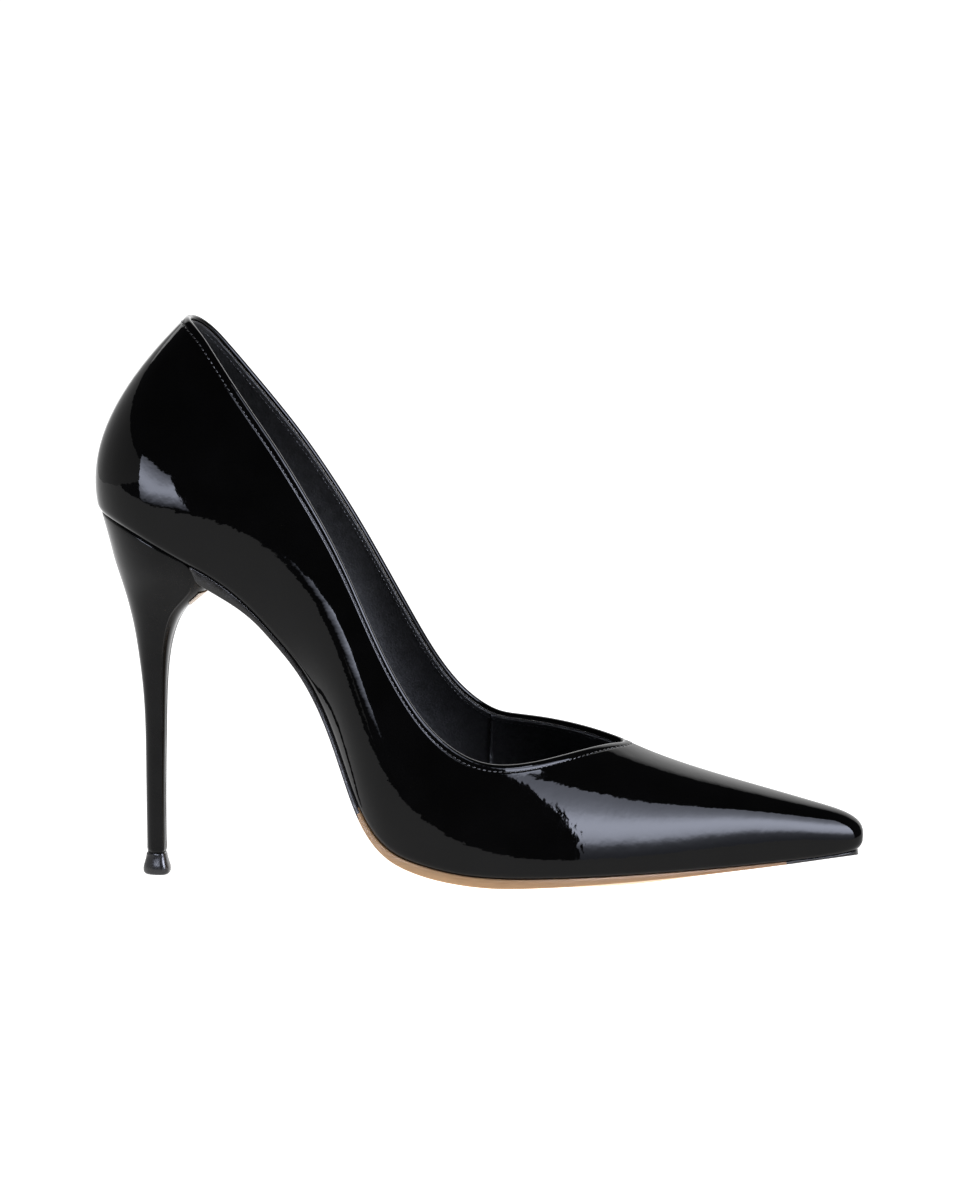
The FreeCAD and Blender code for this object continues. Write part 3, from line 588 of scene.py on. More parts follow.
def stitch_row(place, pitch, length, width, h0, h1, samples=900):
    """Points and faces of separate stitches along a line; place(h) gives its point and outward side."""
    rounds = steps(h0, h1, samples)
    line = [place(h)[0] for h in rounds]
    run = [0.0]
    for a, b in zip(line, line[1:]):
        run.append(run[-1] + size_of(away(a, b)))
    count = int(run[-1] / pitch)
    points = []
    faces = []
    j = 0
    for i in range(count):
        goal = (i + 0.5) * run[-1] / count
        while run[j + 1] < goal:
            j += 1
        share = (goal - run[j]) / (run[j + 1] - run[j])
        middle, out = place(rounds[j] + share * (rounds[j + 1] - rounds[j]))
        ahead = unit(away(line[j], line[j + 1]))
        across = unit(cross(out, ahead))
        ahead = unit(add(ahead, across, 0.10))
        across = unit(cross(out, ahead))
        base = len(points)
        rings = 5
        ring = 8
        for k in range(rings):
            t = math.pi * (k + 1) / (rings + 1)
            reach = -math.cos(t) * length / 2.0
            fat = math.sin(t) ** 0.6
            for m in range(ring):
                turn = 2.0 * math.pi * m / ring
                p = add(middle, ahead, reach)
                p = add(p, across, fat * width / 2.0 * math.cos(turn))
                points.append(add(p, out, fat * width * 0.42 * math.sin(turn) - 0.12 * width))
        points.append(add(middle, ahead, -length / 2.0))
        points.append(add(middle, ahead, length / 2.0))
        for k in range(rings - 1):
            faces += ring_faces(base + k * ring, base + (k + 1) * ring, ring)
        for m in range(ring):
            n = (m + 1) % ring
            faces.append((base + rings * ring, base + n, base + m))
            last = base + (rings - 1) * ring
            faces.append((base + rings * ring + 1, last + m, last + n))
    return points, faces


def on_wall(drop, depth, inward):
    """A line along the wall at a drop below the topline, on one face of the layer at a depth."""
    def place(h):
        r = 2.0 - drop / top_pace(h)
        here = layer(h, r, depth)
        out = unit(away(here, layer(h, r, depth - 1.0)))
        return here, ([-c for c in out] if inward else out)
    return place


# --- Linings: thin shells inside the wall, with a rounded top edge under the fold ---

LINING_OUT = 1.92
LINING_DROP = 1.0


def lining_column(h):
    pace = top_pace(h)
    top = 2.0 - LINING_DROP / pace
    half = 0.5 * (WALL - LINING_OUT)
    column = [layer(h, r, LINING_OUT) for r in steps(1.0, top - half / pace, 14)]
    centre = layer(h, top - half / pace, LINING_OUT + half)
    out = unit(away(centre, layer(h, top - half / pace, LINING_OUT)))
    up = unit(away(profile(h, top - half / pace), profile(h, top)))
    for angle in steps(0.0, math.pi, 7)[1:-1]:
        column.append(add(add(centre, out, half * math.cos(angle)), up, half * math.sin(angle)))
    column += [layer(h, r, WALL) for r in steps(top - half / pace, 1.0, 26)]
    return column


def even_loop(column):
    """The column with an even count of points, as a flat end needs."""
    if len(column) % 2 == 0:
        return column
    return column[:-1] + [add(column[-2], away(column[-2], column[-1]), 0.5), column[-1]]


def lining(name, h0, h1, count, slots):
    columns = [even_loop(lining_column(h)) for h in steps(h0, h1, count)]
    return mesh_piece(name, *loft(columns, False), slots)


# --- The bottom: sock lining, cushion and outsole, all following the sole ---

SOCK_TOP = MARGIN_STACK + BOARD + CUSHION + SOCK
SOCK_CLEAR = 0.12          # the sock stands this far inside the lining
SOFT_EDGE = 1.2            # width of a sheet's rounded side


def foot_edge(h, height):
    """The place on the lining's inner face at a height above the sole, drawn in a little."""
    def is_lower(r):
        p = layer(h, r, WALL + SOCK_CLEAR)
        return p[2] < sole_point(p[0], p[1], height)[2]
    return layer(h, last_true(1.0, 1.35, 18, is_lower), WALL + SOCK_CLEAR)


def under_foot(h0, h1, count, top, low, edge, rows=25, lip=0.3):
    """Loops across the shoe of a sheet under the foot, with rounded sides."""
    columns = []
    for h in steps(h0, h1, count):
        outer, inner = edge(-h), edge(h)
        over = []
        under = []
        for t in steps(0.0, 1.0, rows):
            t = t - 0.5 * math.sin(2.0 * math.pi * t) / (2.0 * math.pi)
            x = outer[0] + (inner[0] - outer[0]) * t
            y = outer[1] + (inner[1] - outer[1]) * t
            side = min(t, 1.0 - t) * size_of(away(outer, inner))
            rounded = lip * max(0.0, 1.0 - side / SOFT_EDGE) ** 2
            over.append(sole_point(x, y, top - rounded))
            under.append(sole_point(x, y, low))
        columns.append(over + under[::-1])
    return loft(columns, False)


EDGE_ROUND = 0.35


def outsole_column(h):
    """A loop across the outsole. Its edge has a small bevel above and below."""
    outer = outline_point(-h, SOLE_INSET)
    inner = outline_point(h, SOLE_INSET)
    wide = math.hypot(inner[0] - outer[0], inner[1] - outer[1])

    def at(shift, depth_share, lift):
        t = min(max(shift / wide, 0.0), 1.0)
        x = outer[0] + (inner[0] - outer[0]) * t
        y = outer[1] + (inner[1] - outer[1]) * t
        deep = outsole_face(x, y / half_width(x))
        return sole_point(x, y, deep * depth_share + lift)

    r = min(EDGE_ROUND, 0.2 * wide)
    deep = -outsole_face(0.5 * (outer[0] + inner[0]), 1.0)
    r = min(r, 0.3 * deep)
    lane = min(1.0, 0.05 * (wide - 2.0 * r))
    left = [r + s * lane for s in (0.0, 0.3, 1.0, 2.2, 4.0)]
    middle = steps(left[-1], wide - left[-1], 21)[1:-1]
    across = left + middle + [wide - s for s in reversed(left)]
    under = [at(s, 1.0, 0.0) for s in across]
    side = [(0.3 * r, 1.0, 0.3 * r), (0.0, 1.0, r), (0.0, 0.0, -0.5 * deep), (0.0, 0.0, -r),
            (0.3 * r, 0.0, -0.3 * r)]
    far = [at(wide - inset, share, lift) for inset, share, lift in side]
    near = [at(*place) for place in reversed(side)]
    over = [at(s, 0.0, 0.0) for s in reversed(across)]
    return under + far + over + near, len(across)


# --- The heel ---

TIP_GAP = 0.02             # between the cover and the top piece
BEAD = 1.2                 # the turn at which the cover's folded edge stands out, beside the breast


def heel_turns():
    """Angles round the heel, close enough together at the breast and at its two corners."""
    quarter = []
    for i in range(17):
        quarter.append(math.asin((i / 16.0 * math.sin(math.pi / 4.0) ** (1.0 / 1.8)) ** 1.8))
    for i in range(11, -1, -1):
        quarter.append(math.acos((i / 12.0 * math.cos(math.pi / 4.0) ** (1.0 / 1.8)) ** 1.8))
    half = quarter + steps(math.pi / 2.0, math.pi, 27)[1:]
    fine = [0.0004, 0.0016] + steps(BEAD - 0.15, BEAD + 0.15, 16)
    half = sorted(set(half + fine))
    return half + [-a for a in reversed(half[1:-1])]


def heel_skin(angle, z, inset):
    x, y = d_shape(angle, heel_back(z) + inset, heel_front(z) - inset, heel_half(z) - inset)
    return [x, y, z]


def heel_limit(x, y):
    """Height where the heel meets the upper's seat or the end of the outsole."""
    if x > SOLE_END:
        return sole_point(x, y, outsole_face(x, y / half_width(x)))[2]
    return sole_z(x, y)


def heel_top(angle, inset):
    return last_true(60.0, 119.0, 30, lambda z: z < heel_limit(*heel_skin(angle, z, inset)[:2]))


def breast_line(angle, z):
    """The cover's two edges meet in a fine line down the breast, not quite straight."""
    y = heel_skin(angle, z, 0.0)[1]
    shift = 0.25 * math.sin(z * 0.21) + 0.12 * math.sin(z * 0.83 + 1.0)
    front = blend(math.cos(angle), 0.3, 0.8)
    return 0.26 * bump(y - shift, 0.3) * front


def gather(angle, z):
    """Small tucks where the cover is drawn in above the top piece."""
    tuck = math.sin(9.0 * angle + 1.3) * math.sin(4.0 * angle)
    return 0.10 * tuck * bump(z - TIP_HEIGHT - 1.6, 1.1)


def bead(angle, z):
    """The cover's folded edge down each side of the breast."""
    share = blend(z, 30.0, 60.0) * (1.0 - blend(z, 88.0, 91.0))
    return -0.22 * bump(abs(angle) - BEAD, 0.06) * share


def heel_column(angle):
    top = heel_top(angle, 0.0)
    column = []
    start = TIP_HEIGHT + TIP_GAP
    for t in steps(0.0, 1.0, 74):
        z = start + (top - start) * t
        rolled = 0.25 * max(0.0, 1.0 - (top - z) / 0.6) ** 2
        foot = 0.2 * max(0.0, 1.0 - (z - start) / 0.5) ** 2
        inset = breast_line(angle, z) + gather(angle, z) + bead(angle, z) + rolled + foot
        column.append(heel_skin(angle, z, inset))
    inner_top = heel_top(angle, COVER)
    for z in steps(inner_top, start, 12):
        column.append(heel_skin(angle, z, COVER - TIP_GAP))
    return column


# --- Materials ---

class Finish:
    """A material made of nodes, with short ways to add noise, ramps and bumps."""

    def __init__(self, name, base, roughness, **settings):
        self.material = bpy.data.materials.new(name)
        self.material.use_nodes = True
        self.tree = self.material.node_tree
        self.shader = self.tree.nodes["Principled BSDF"]
        self.shader.inputs["Base Color"].default_value = (*base, 1.0)
        self.shader.inputs["Roughness"].default_value = roughness
        for key, value in settings.items():
            self.shader.inputs[key.replace("_", " ")].default_value = value
        self.place = self.tree.nodes.new("ShaderNodeTexCoord").outputs["Object"]

    def node(self, kind, **sockets):
        node = self.tree.nodes.new(kind)
        for key, value in sockets.items():
            self.set(node.inputs[key.replace("_", " ")], value)
        return node

    def set(self, socket, value):
        if isinstance(value, bpy.types.NodeSocket):
            self.tree.links.new(value, socket)
        else:
            socket.default_value = value

    def stretched(self, scale, turn=(0.0, 0.0, 0.0)):
        mapping = self.node("ShaderNodeMapping", Vector=self.place, Scale=scale, Rotation=turn)
        return mapping.outputs["Vector"]

    def noise(self, size, detail=2.0, rough=0.5, place=None):
        """Noise whose lumps are about size millimetres across."""
        node = self.node("ShaderNodeTexNoise", Vector=place or self.place, Scale=1.0 / (MM * size),
                         Detail=detail, Roughness=rough)
        return node.outputs["Fac"]

    def cells(self, size):
        node = self.node("ShaderNodeTexVoronoi", Vector=self.place, Scale=1.0 / (MM * size))
        return node.outputs["Distance"]

    def range(self, value, low, high, to_low, to_high):
        node = self.node("ShaderNodeMapRange", Value=value)
        for key, number in (("From Min", low), ("From Max", high), ("To Min", to_low), ("To Max", to_high)):
            node.inputs[key].default_value = number
        return node.outputs["Result"]

    def math(self, operation, a, b=0.0):
        node = self.tree.nodes.new("ShaderNodeMath")
        node.operation = operation
        self.set(node.inputs[0], a)
        self.set(node.inputs[1], b)
        return node.outputs["Value"]

    def patches(self, size, detail, low=0.0, high=1.0, rough=0.5):
        """Soft patches about size millimetres across, from low to high."""
        return self.range(self.noise(size, detail, rough), 0.3, 0.7, low, high)

    def wave(self, scale, direction="X", place=None):
        node = self.node("ShaderNodeTexWave", Vector=place or self.place, Scale=scale)
        node.bands_direction = direction
        return node

    def mix(self, factor, a, b):
        node = self.tree.nodes.new("ShaderNodeMix")
        node.data_type = "RGBA"
        self.set(node.inputs["Factor"], factor)
        for socket, colour in ((node.inputs[6], a), (node.inputs[7], b)):
            self.set(socket, colour if isinstance(colour, bpy.types.NodeSocket) else (*colour, 1.0))
        return node.outputs[2]

    def colour(self, socket):
        self.set(self.shader.inputs["Base Color"], socket)

    def rough(self, socket):
        self.set(self.shader.inputs["Roughness"], socket)

    def raise_by(self, height, depth):
        """Adds a bump that is depth millimetres high."""
        node = self.node("ShaderNodeBump", Height=height, Distance=depth * MM, Strength=1.0)
        if self.shader.inputs["Normal"].links:
            self.set(node.inputs["Normal"], self.shader.inputs["Normal"].links[0].from_socket)
        self.set(self.shader.inputs["Normal"], node.outputs["Normal"])

    def axis(self, name):
        node = self.node("ShaderNodeSeparateXYZ", Vector=self.place)
        return node.outputs[name]


def patent_finish():
    f = Finish("patent_black", (0.0024, 0.0024, 0.0026), 0.05, IOR=1.24)
    tone = f.range(f.noise(14.0, 3.0), 0.35, 0.65, 0.0, 1.0)
    f.colour(f.mix(tone, (0.0018, 0.0018, 0.0019), (0.003, 0.003, 0.0033)))
    f.rough(f.patches(5.0, 4.0, 0.02, 0.055))
    for size, detail, depth in ((9.0, 1.0, 0.05), (3.4, 2.0, 0.035), (1.5, 2.0, 0.007), (0.35, 2.0, 0.0008)):
        f.raise_by(f.noise(size, detail), depth)
    return f.material


def heel_finish():
    f = Finish("heel_leather_black", (0.004, 0.004, 0.0043), 0.14, IOR=1.23)
    tone = f.range(f.noise(7.0, 3.0), 0.35, 0.65, 0.0, 1.0)
    f.colour(f.mix(tone, (0.003, 0.003, 0.0032), (0.005, 0.005, 0.0054)))
    f.rough(f.patches(4.0, 4.0, 0.12, 0.22))
    f.raise_by(f.noise(6.0, 1.0), 0.04)
    f.raise_by(f.noise(1.2, 2.0), 0.006)
    f.raise_by(f.cells(0.28), 0.003)
    return f.material


def grain_finish(name, dark, light, size, rough, depth):
    f = Finish(name, light, rough, IOR=1.45)
    cells = f.cells(size)
    tone = f.patches(3.0, 4.0)
    pore = f.range(cells, 0.1, 0.7, 0.0, 1.0)
    f.colour(f.mix(f.math("MULTIPLY", tone, pore), dark, light))
    f.rough(f.patches(2.0, 3.0, rough - 0.08, rough + 0.08))
    f.raise_by(f.noise(11.0, 2.0), 0.10)
    f.raise_by(cells, depth)
    f.raise_by(f.noise(0.3, 2.0), 0.4 * depth)
    return f.material


def thread_finish():
    f = Finish("thread_black", (0.03, 0.03, 0.031), 0.36)
    twist = f.stretched((1.0, 1.0, 1.0), (0.6, 0.4, 0.9))
    wave = f.wave(1200.0, place=twist)
    wave.inputs["Distortion"].default_value = 1.5
    f.colour(f.mix(wave.outputs["Fac"], (0.016, 0.016, 0.017), (0.055, 0.055, 0.058)))
    f.raise_by(wave.outputs["Fac"], 0.02)
    return f.material


def sole_finish():
    """Natural leather underfoot: pale, with fine pores, long fibres and light scuffs."""
    f = Finish("sole_leather_natural", (0.62, 0.5, 0.38), 0.55)
    patch_tone = f.range(f.noise(26.0, 4.0, 0.6), 0.3, 0.7, 0.0, 1.0)
    base = f.mix(patch_tone, (0.60, 0.45, 0.31), (0.74, 0.60, 0.44))
    pores = f.range(f.cells(0.7), 0.05, 0.35, 0.0, 1.0)
    base = f.mix(pores, (0.42, 0.28, 0.17), base)
    long_way = f.stretched((0.12, 1.0, 1.0))
    scuff = f.range(f.noise(2.5, 6.0, 0.7, long_way), 0.58, 0.75, 0.0, 0.5)
    f.colour(f.mix(scuff, base, (0.50, 0.38, 0.27)))
    f.rough(f.patches(6.0, 5.0, 0.42, 0.68))
    f.raise_by(f.noise(14.0, 3.0), 0.06)
    f.raise_by(f.cells(0.7), 0.03)
    f.raise_by(scuff, -0.03)
    return f.material


def edge_finish():
    """The outsole's cut edge: tan, in fine layers along the sole, polished, and darker towards the toe,
    which is painted shade.
    """
    f = Finish("sole_edge_tan", (0.42, 0.22, 0.11), 0.42, IOR=1.45)
    layers = f.stretched((0.06, 0.06, 1.0))
    lines = f.range(f.noise(0.35, 5.0, 0.6, layers), 0.3, 0.7, 0.0, 1.0)
    tone = f.patches(8.0, 4.0)
    base = f.mix(tone, (0.46, 0.265, 0.125), (0.54, 0.32, 0.16))
    base = f.mix(lines, base, (0.60, 0.375, 0.20))
    # painted shade: the edge darkens towards the toe
    toe_shade_ramp = f.range(f.axis("X"), -0.02, 0.07, 0.0, 1.0)
    f.colour(f.mix(toe_shade_ramp, base, (0.36, 0.20, 0.095)))
    f.rough(f.patches(3.0, 4.0, 0.34, 0.52))
    f.raise_by(lines, 0.03)
    return f.material


def paint_and_toe_shade_finish():
    """The waist's thin edge, painted black, and the toe tip, whose black is painted shade."""
    f = Finish("edge_paint_and_toe_shade_black", (0.012, 0.011, 0.011), 0.3, IOR=1.42)
    tone = f.patches(5.0, 4.0)
    f.colour(f.mix(tone, (0.008, 0.008, 0.008), (0.02, 0.018, 0.017)))
    f.rough(f.patches(2.0, 4.0, 0.2, 0.4))
    f.raise_by(f.noise(0.6, 3.0), 0.02)
    return f.material


def tip_finish():
    f = Finish("tip_plastic_black", (0.012, 0.012, 0.014), 0.22, IOR=1.48)
    f.colour(f.mix(f.noise(2.0, 4.0), (0.009, 0.009, 0.011), (0.018, 0.018, 0.021)))
    scratch = f.noise(0.5, 6.0, 0.7, f.stretched((1.0, 1.0, 0.15)))
    f.rough(f.range(scratch, 0.3, 0.7, 0.16, 0.32))
    f.raise_by(scratch, 0.01)
    f.raise_by(f.noise(2.5, 1.0), 0.05)
    return f.material


def cloth_finish(name, dark, light):
    f = Finish(name, light, 0.85)
    both = f.math("MULTIPLY", f.wave(500.0).outputs["Fac"], f.wave(500.0, "Z").outputs["Fac"])
    f.colour(f.mix(both, dark, light))
    f.raise_by(both, 0.08)
    return f.material


def board_finish(name, dark, light, rough=0.8, size=1.2):
    f = Finish(name, light, rough)
    fibres = f.noise(size, 6.0, 0.7, f.stretched((0.3, 1.0, 1.0)))
    f.colour(f.mix(f.range(fibres, 0.35, 0.65, 0.0, 1.0), dark, light))
    f.rough(f.patches(2.0, 4.0, rough - 0.1, rough + 0.1))
    f.raise_by(fibres, 0.05)
    return f.material


def steel_finish():
    f = Finish("steel_brushed", (0.55, 0.56, 0.58), 0.3, Metallic=1.0)
    brushed = f.noise(0.4, 4.0, 0.6, f.stretched((0.05, 1.0, 1.0)))
    f.colour(f.mix(brushed, (0.42, 0.43, 0.45), (0.62, 0.63, 0.65)))
    f.rough(f.range(brushed, 0.3, 0.7, 0.25, 0.42))
    f.raise_by(brushed, 0.01)
    return f.material


patent = patent_finish()
heel_leather = heel_finish()
lining_leather = grain_finish("lining_leather_black", (0.008, 0.008, 0.0085), (0.026, 0.026, 0.027),
                              0.75, 0.62, 0.035)
sock_leather = grain_finish("sock_leather_black", (0.010, 0.010, 0.0105), (0.030, 0.030, 0.031),
                            0.9, 0.55, 0.03)
thread = thread_finish()
sole_leather = sole_finish()
# the sole leather again, drawn paler as painted light where the tongue is brightly lit
sole_leather_painted_lit = grain_finish("sole_end_painted_lit", (0.60, 0.50, 0.42), (0.74, 0.67, 0.60), 0.9, 0.55, 0.02)
sole_edge = edge_finish()
# black edge paint at the waist; at the toe tip the same black is painted shade
edge_paint_and_toe_shade = paint_and_toe_shade_finish()
tip_plastic = tip_finish()
backing = cloth_finish("backing_cloth", (0.55, 0.53, 0.49), (0.78, 0.76, 0.71))
stiffener = board_finish("stiffener_sheet", (0.70, 0.68, 0.62), (0.84, 0.82, 0.76), 0.7, 0.8)
board = board_finish("insole_board", (0.44, 0.33, 0.21), (0.60, 0.47, 0.32))
filler = board_finish("cork_filler", (0.36, 0.24, 0.13), (0.66, 0.49, 0.31), 0.85, 2.0)
foam = board_finish("cushion_foam", (0.70, 0.64, 0.46), (0.86, 0.81, 0.64), 0.9, 0.6)
heel_plastic = board_finish("heel_core_plastic", (0.74, 0.72, 0.66), (0.82, 0.80, 0.74), 0.45, 3.0)
steel = steel_finish()

HIDDEN = ((backing, "topline_tape quarter_backer_lateral quarter_backer_medial vamp_backer"),
          (stiffener, "heel_counter toe_puff"), (filler, "bottom_filler"),
          (board, "insole_board shank_board"),
          (steel, "steel_shank shank_rivets heel_screw heel_nails heel_tube top_piece_pin"),
          (heel_plastic, "heel_core"))
for finish, node_names in HIDDEN:
    for node_name in node_names.split():
        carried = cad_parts[node_name].data.materials
        if not len(carried):
            carried.append(finish)
        for i in range(len(carried)):
            carried[i] = finish


# --- The pieces ---

upper = mesh_piece("upper_patent", *loft([upper_column(h) for h in AROUND], True), [patent])
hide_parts("upper")

outer_row = stitch_row(on_wall(STITCH_DROP, GROOVE - 0.1, False), 1.6, 1.1, 0.42, 0.004, 1.996)
inner_row = stitch_row(on_wall(STITCH_DROP, WALL, True), 1.5, 1.12, 0.36, 0.004, 1.996)
shift = len(outer_row[0])
stitches = mesh_piece("topline_stitches", outer_row[0] + inner_row[0],
                      outer_row[1] + [tuple(i + shift for i in face) for face in inner_row[1]], [thread])
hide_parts("topline_stitching")

for name, h0, h1, count in (("quarter_lining", -BACKER_END, BACKER_END, 151),
                            ("vamp_lining", BACKER_END + 0.0001, 2.0 - BACKER_END - 0.0001, 111)):
    piece = lining(name + "_leather", h0, h1, count, [lining_leather])
    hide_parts(name)

sock = mesh_piece("sock_leather", *under_foot(0.006, 0.992, 130, SOCK_TOP, SOCK_TOP - SOCK,
                                              lambda h: foot_edge(h, SOCK_TOP)), [sock_leather])
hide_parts("sock_lining")

CUSHION_LOW = MARGIN_STACK + BOARD + 0.03
CUSHION_TOP = SOCK_TOP - SOCK - 0.05
PAD_INSET = WALL + 0.5
PAD_START = -11.4
PAD_END = 0.985
pad_shape = under_foot(share_at(PAD_START, PAD_INSET), PAD_END, 60, CUSHION_TOP, CUSHION_LOW,
                       lambda h: outline_point(h, PAD_INSET) + [0.0], lip=0.5)
pad = mesh_piece("ball_cushion_foam", *pad_shape, [foam])
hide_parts("ball_cushion")

TAN_START = -33.5          # the edge is tan between these two places and black beyond them: paint at the waist, painted shade at the toe tip
TAN_END = 92.0
PAINT_LANES = 4            # rows of the bottom, beside each edge, that take the black too: paint at the waist, painted shade at the toe tip
OUTSOLE_TIP = 0.997
sole_columns = []
for h in steps(share_at(SOLE_END, SOLE_INSET), OUTSOLE_TIP, 190):
    loop, under_count = outsole_column(h)
    sole_columns.append(loop)
most = len(sole_columns[0])
sole_points, sole_faces = loft(sole_columns, False)
face_slots = []
for face in sole_faces:
    spots = [i % most for i in face]
    x = sum(sole_points[i][0] for i in face) / len(face)
    bottom_face = max(spots) < under_count
    middle = PAINT_LANES <= min(spots) and max(spots) < under_count - PAINT_LANES
    tan = TAN_START < x < TAN_END
    face_slots.append(0 if bottom_face and (tan or middle) else 1 if tan else 2)
outsole = mesh_piece("outsole_leather", sole_points, sole_faces,
                     [sole_leather, sole_edge, edge_paint_and_toe_shade], face_slots)
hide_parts("outsole")

turns = heel_turns()
cover = mesh_piece("heel_cover_leather", *loft([heel_column(a) for a in turns], True), [heel_leather])
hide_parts("heel_cover")


def tongue_piece():
    """The end of the sole leather, turned down on to the top of the heel's breast, drawn paler than the rest
    of the sole as painted light.
    """
    low, high = TONGUE_ROWS
    columns = []
    for z in steps(low, high, 25):
        reach = TONGUE_REACH * (1.0 - 0.5 * max(0.0, 1.0 - (z - low) / 1.6) ** 2)
        loop = []
        for inset, shares in ((-TONGUE_CLEAR - TONGUE, steps(-reach, reach, 25)),
                              (-TONGUE_CLEAR, steps(reach, -reach, 25))):
            for share in shares:
                angle = math.copysign(math.asin(abs(share) ** (FRONT_POWER / 2.0)), share)
                loop.append(heel_skin(angle, z, inset))
        columns.append(loop)
    return loft(columns, False)


tongue = mesh_piece("sole_tongue_leather", *tongue_piece(), [sole_leather_painted_lit])
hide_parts("sole_tongue")


TIP_ROWS = [0.0, 0.06, 0.18, 0.35, 0.6, 0.9, 1.3, 1.8, 2.4, 3.0, 3.6, 4.2, 4.8, 5.3, 5.8, 6.2, 6.45, 6.58]
TIP_RIM = 6.2              # its upper edge is rounded above this height
TIP_RIM_HEIGHT = 0.38
TIP_RIM_INSET = 0.25
TIP_SQUARE = 3.0           # how square the front of its section is
tip_half = smooth_curve(TIP_HALF)


def tip_column(angle):
    column = []
    for z in TIP_ROWS:
        half = tip_half(z)
        if z > TIP_RIM:
            half -= TIP_RIM_INSET * (z - TIP_RIM) / TIP_RIM_HEIGHT
        x, y = d_shape(angle, PIN_X - half, PIN_X + half, half * TIP_WIDTH, TIP_SQUARE)
        column.append([x, y, z])
    for share in (0.7, 0.35):
        column.append([PIN_X + (x - PIN_X) * share, y * share, TIP_ROWS[-1]])
    under = []
    for share in (0.35, 0.75):
        under.append([PIN_X + (column[0][0] - PIN_X) * share, column[0][1] * share, 0.0])
    return under + column


def tube_with_ends(columns):
    """A closed skin through open columns that go round, with a flat face at each end."""
    size = len(columns[0])
    points, faces = loft(columns, True)
    faces = [face for k, face in enumerate(faces) if (k + 1) % size]
    for first in (range(0, len(points), size), reversed(range(size - 1, len(points), size))):
        faces.append(tuple(first))
    return points, faces


tip = mesh_piece("top_piece_plastic", *tube_with_ends([tip_column(a) for a in turns]), [tip_plastic])
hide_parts("top_piece")


# --- Floor, light and camera ---

def quad(name, corners, material):
    """A flat or twisted sheet between four corners in metres, with its own u, v coordinates."""
    mesh = bpy.data.meshes.new(name)
    mesh.from_pydata(corners, [], [(0, 1, 2, 3)])
    mesh.uv_layers.new(name="uv")
    for loop, place in zip(mesh.uv_layers["uv"].data, ((0.0, 0.0), (1.0, 0.0), (1.0, 1.0), (0.0, 1.0))):
        loop.uv = place
    mesh.materials.append(material)
    thing = put(name, mesh)
    return thing


FLOOR_FRONT = -0.42
FLOOR_FAR = 14.0
FLOOR_LEVEL = -0.0002
floor_finish = Finish("floor_pale", (0.82, 0.82, 0.82), 0.9)
floor_finish.shader.inputs["Emission Color"].default_value = (1.0, 1.0, 1.0, 1.0)
floor_finish.shader.inputs["Emission Strength"].default_value = 1.05
floor_finish.shader.inputs["Specular IOR Level"].default_value = 0.0
quad("floor", [(-FLOOR_FAR, FLOOR_FRONT, FLOOR_LEVEL), (FLOOR_FAR, FLOOR_FRONT, FLOOR_LEVEL),
               (FLOOR_FAR, FLOOR_FAR, FLOOR_LEVEL), (-FLOOR_FAR, FLOOR_FAR, FLOOR_LEVEL)],
     floor_finish.material)

world = bpy.data.worlds.new("studio")
bpy.context.scene.world = world
world.use_nodes = True
tree = world.node_tree
background = tree.nodes["Background"]
seen = tree.nodes.new("ShaderNodeLightPath")
shade = tree.nodes.new("ShaderNodeMix")
shade.data_type = "RGBA"
tree.links.new(seen.outputs["Is Camera Ray"], shade.inputs["Factor"])
shade.inputs[6].default_value = (0.06, 0.06, 0.065, 1.0)
shade.inputs[7].default_value = (1.2, 1.2, 1.2, 1.0)
tree.links.new(shade.outputs[2], background.inputs["Color"])


WHITE = (1.0, 1.0, 1.0)
COOL = (0.90, 0.955, 1.16)


def softbox(name, corners, stops, colour=COOL):
    """A glowing sheet that the camera doesn't see. stops give its radiance from lower to upper edge."""
    material = bpy.data.materials.new(name)
    material.use_nodes = True
    tree = material.node_tree
    tree.nodes.clear()
    place, split, curve, scale, glow, out = [tree.nodes.new("ShaderNode" + kind) for kind in (
        "TexCoord", "SeparateXYZ", "FloatCurve", "Math", "Emission", "OutputMaterial")]
    top = max(value for _, value in stops)
    points = curve.mapping.curves[0].points
    for i, (at, value) in enumerate(stops):
        if i < 2:
            points[i].location = (at, value / top)
        else:
            points.new(at, value / top)
    curve.mapping.update()
    scale.operation = "MULTIPLY"
    scale.inputs[1].default_value = top
    glow.inputs["Color"].default_value = (*colour, 1.0)
    for source, goal in ((place.outputs["UV"], split.inputs[0]), (split.outputs["Y"], curve.inputs["Value"]),
                         (curve.outputs["Value"], scale.inputs[0]),
                         (scale.outputs["Value"], glow.inputs["Strength"]),
                         (glow.outputs["Emission"], out.inputs["Surface"])):
        tree.links.new(source, goal)
    sheet = quad(name, corners, material)
    sheet.visible_camera = False
    sheet.visible_diffuse = False
    sheet.visible_shadow = False
    return sheet


def aimed(origin, reach, azimuth, elevation):
    """The point at a reach from an origin, in a direction: azimuth 0 is -Y and 90 is +X."""
    a, e = math.radians(azimuth), math.radians(elevation)
    return (origin[0] + reach * math.cos(e) * math.sin(a), origin[1] - reach * math.cos(e) * math.cos(a),
            origin[2] + reach * math.sin(e))


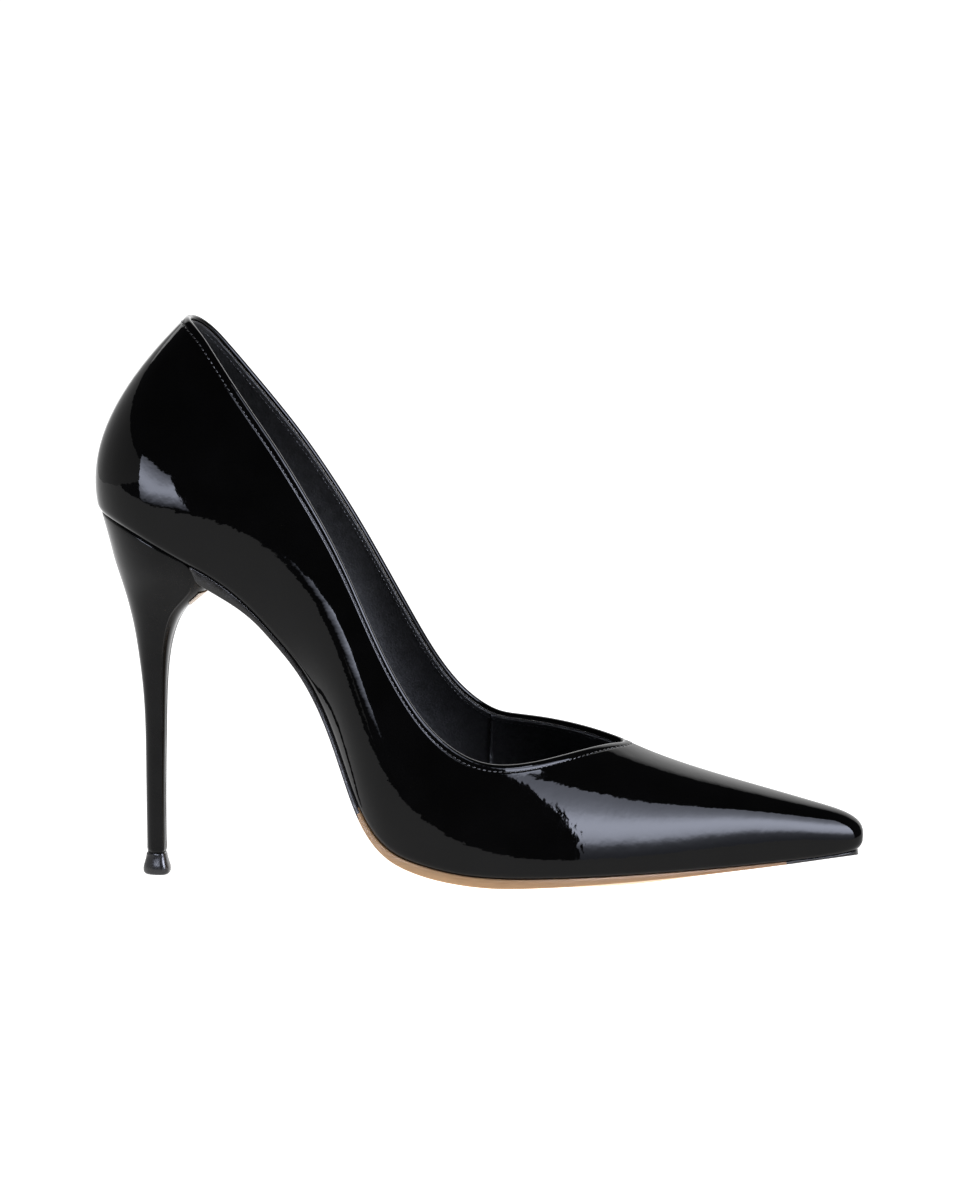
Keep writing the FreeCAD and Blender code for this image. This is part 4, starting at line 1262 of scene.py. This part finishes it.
# The places on the shoe whose reflections the lamps are aimed at
VAMP = (0.05, -0.022, 0.028)
THROAT = (0.013, -0.024, 0.041)
COUNTER = (-0.092, -0.025, 0.12)
softbox("softbox_front", [aimed(VAMP, 1.3, *way) for way in ((28.5, -3), (70, -3), (66, 53), (35, 51.5))],
        [(0.0, 1.2), (0.145, 1.9), (0.22, 3.0), (0.29, 9.0), (0.364, 19.0), (0.455, 24.0), (0.56, 26.0),
         (0.66, 22.0), (0.75, 14.0), (0.87, 9.0), (1.0, 7.0)])
softbox("softbox_throat", [aimed(THROAT, 0.12, *way) for way in ((36, 45.5), (56, 52), (60, 59), (38, 51))],
        [(0.0, 12.0), (1.0, 26.0)])
softbox("softbox_side", [aimed(COUNTER, 0.2, *way) for way in ((-38, -14), (-3, -16), (-9, 2), (-38, 14.6))],
        [(0.0, 0.2), (0.12, 4.0), (0.3, 10.5), (0.52, 20.0), (0.63, 19.0), (0.8, 12.0), (1.0, 5.0)])
softbox("wall_left", [(-1.2, 2.2, 0.0), (-1.2, -1.5, 0.0), (-1.2, -1.5, 0.42), (-1.2, 2.2, 1.05)],
        [(0.0, 0.8), (1.0, 0.7)], WHITE)
softbox("backdrop", [(4.5, 3.2, 0.0), (-4.5, 3.2, 0.0), (-4.5, 3.2, 5.8), (4.5, 3.2, 5.8)],
        [(0.0, 1.3), (0.2, 2.4), (0.6, 2.8), (0.85, 1.6), (1.0, 0.6)], WHITE)

sky = bpy.data.lights.new("sky", "AREA")
sky.shape = "SQUARE"
sky.size = 4.0
sky.energy = 40.0
overhead = put("sky", sky)
overhead.location = (0.0, 0.0, 2.4)
overhead.visible_glossy = False
overhead.visible_camera = False

AZIMUTH = math.radians(6.0)
ELEVATION = math.radians(8.5)
DISTANCE = 1.5
AIM = Vector((0.0, 0.0, 0.0813))
back = Vector((math.sin(AZIMUTH) * math.cos(ELEVATION), -math.cos(AZIMUTH) * math.cos(ELEVATION),
               math.sin(ELEVATION)))
lens = bpy.data.cameras.new("camera")
lens.sensor_width = 36.0
lens.lens = 151.0
lens.shift_y = 0.01
lens.clip_end = 60.0
camera = put("camera", lens)
camera.location = AIM + back * DISTANCE
camera.rotation_euler = back.to_track_quat("Z", "Y").to_euler()
bpy.context.scene.camera = camera
bpy.context.scene.view_settings.view_transform = "Standard"
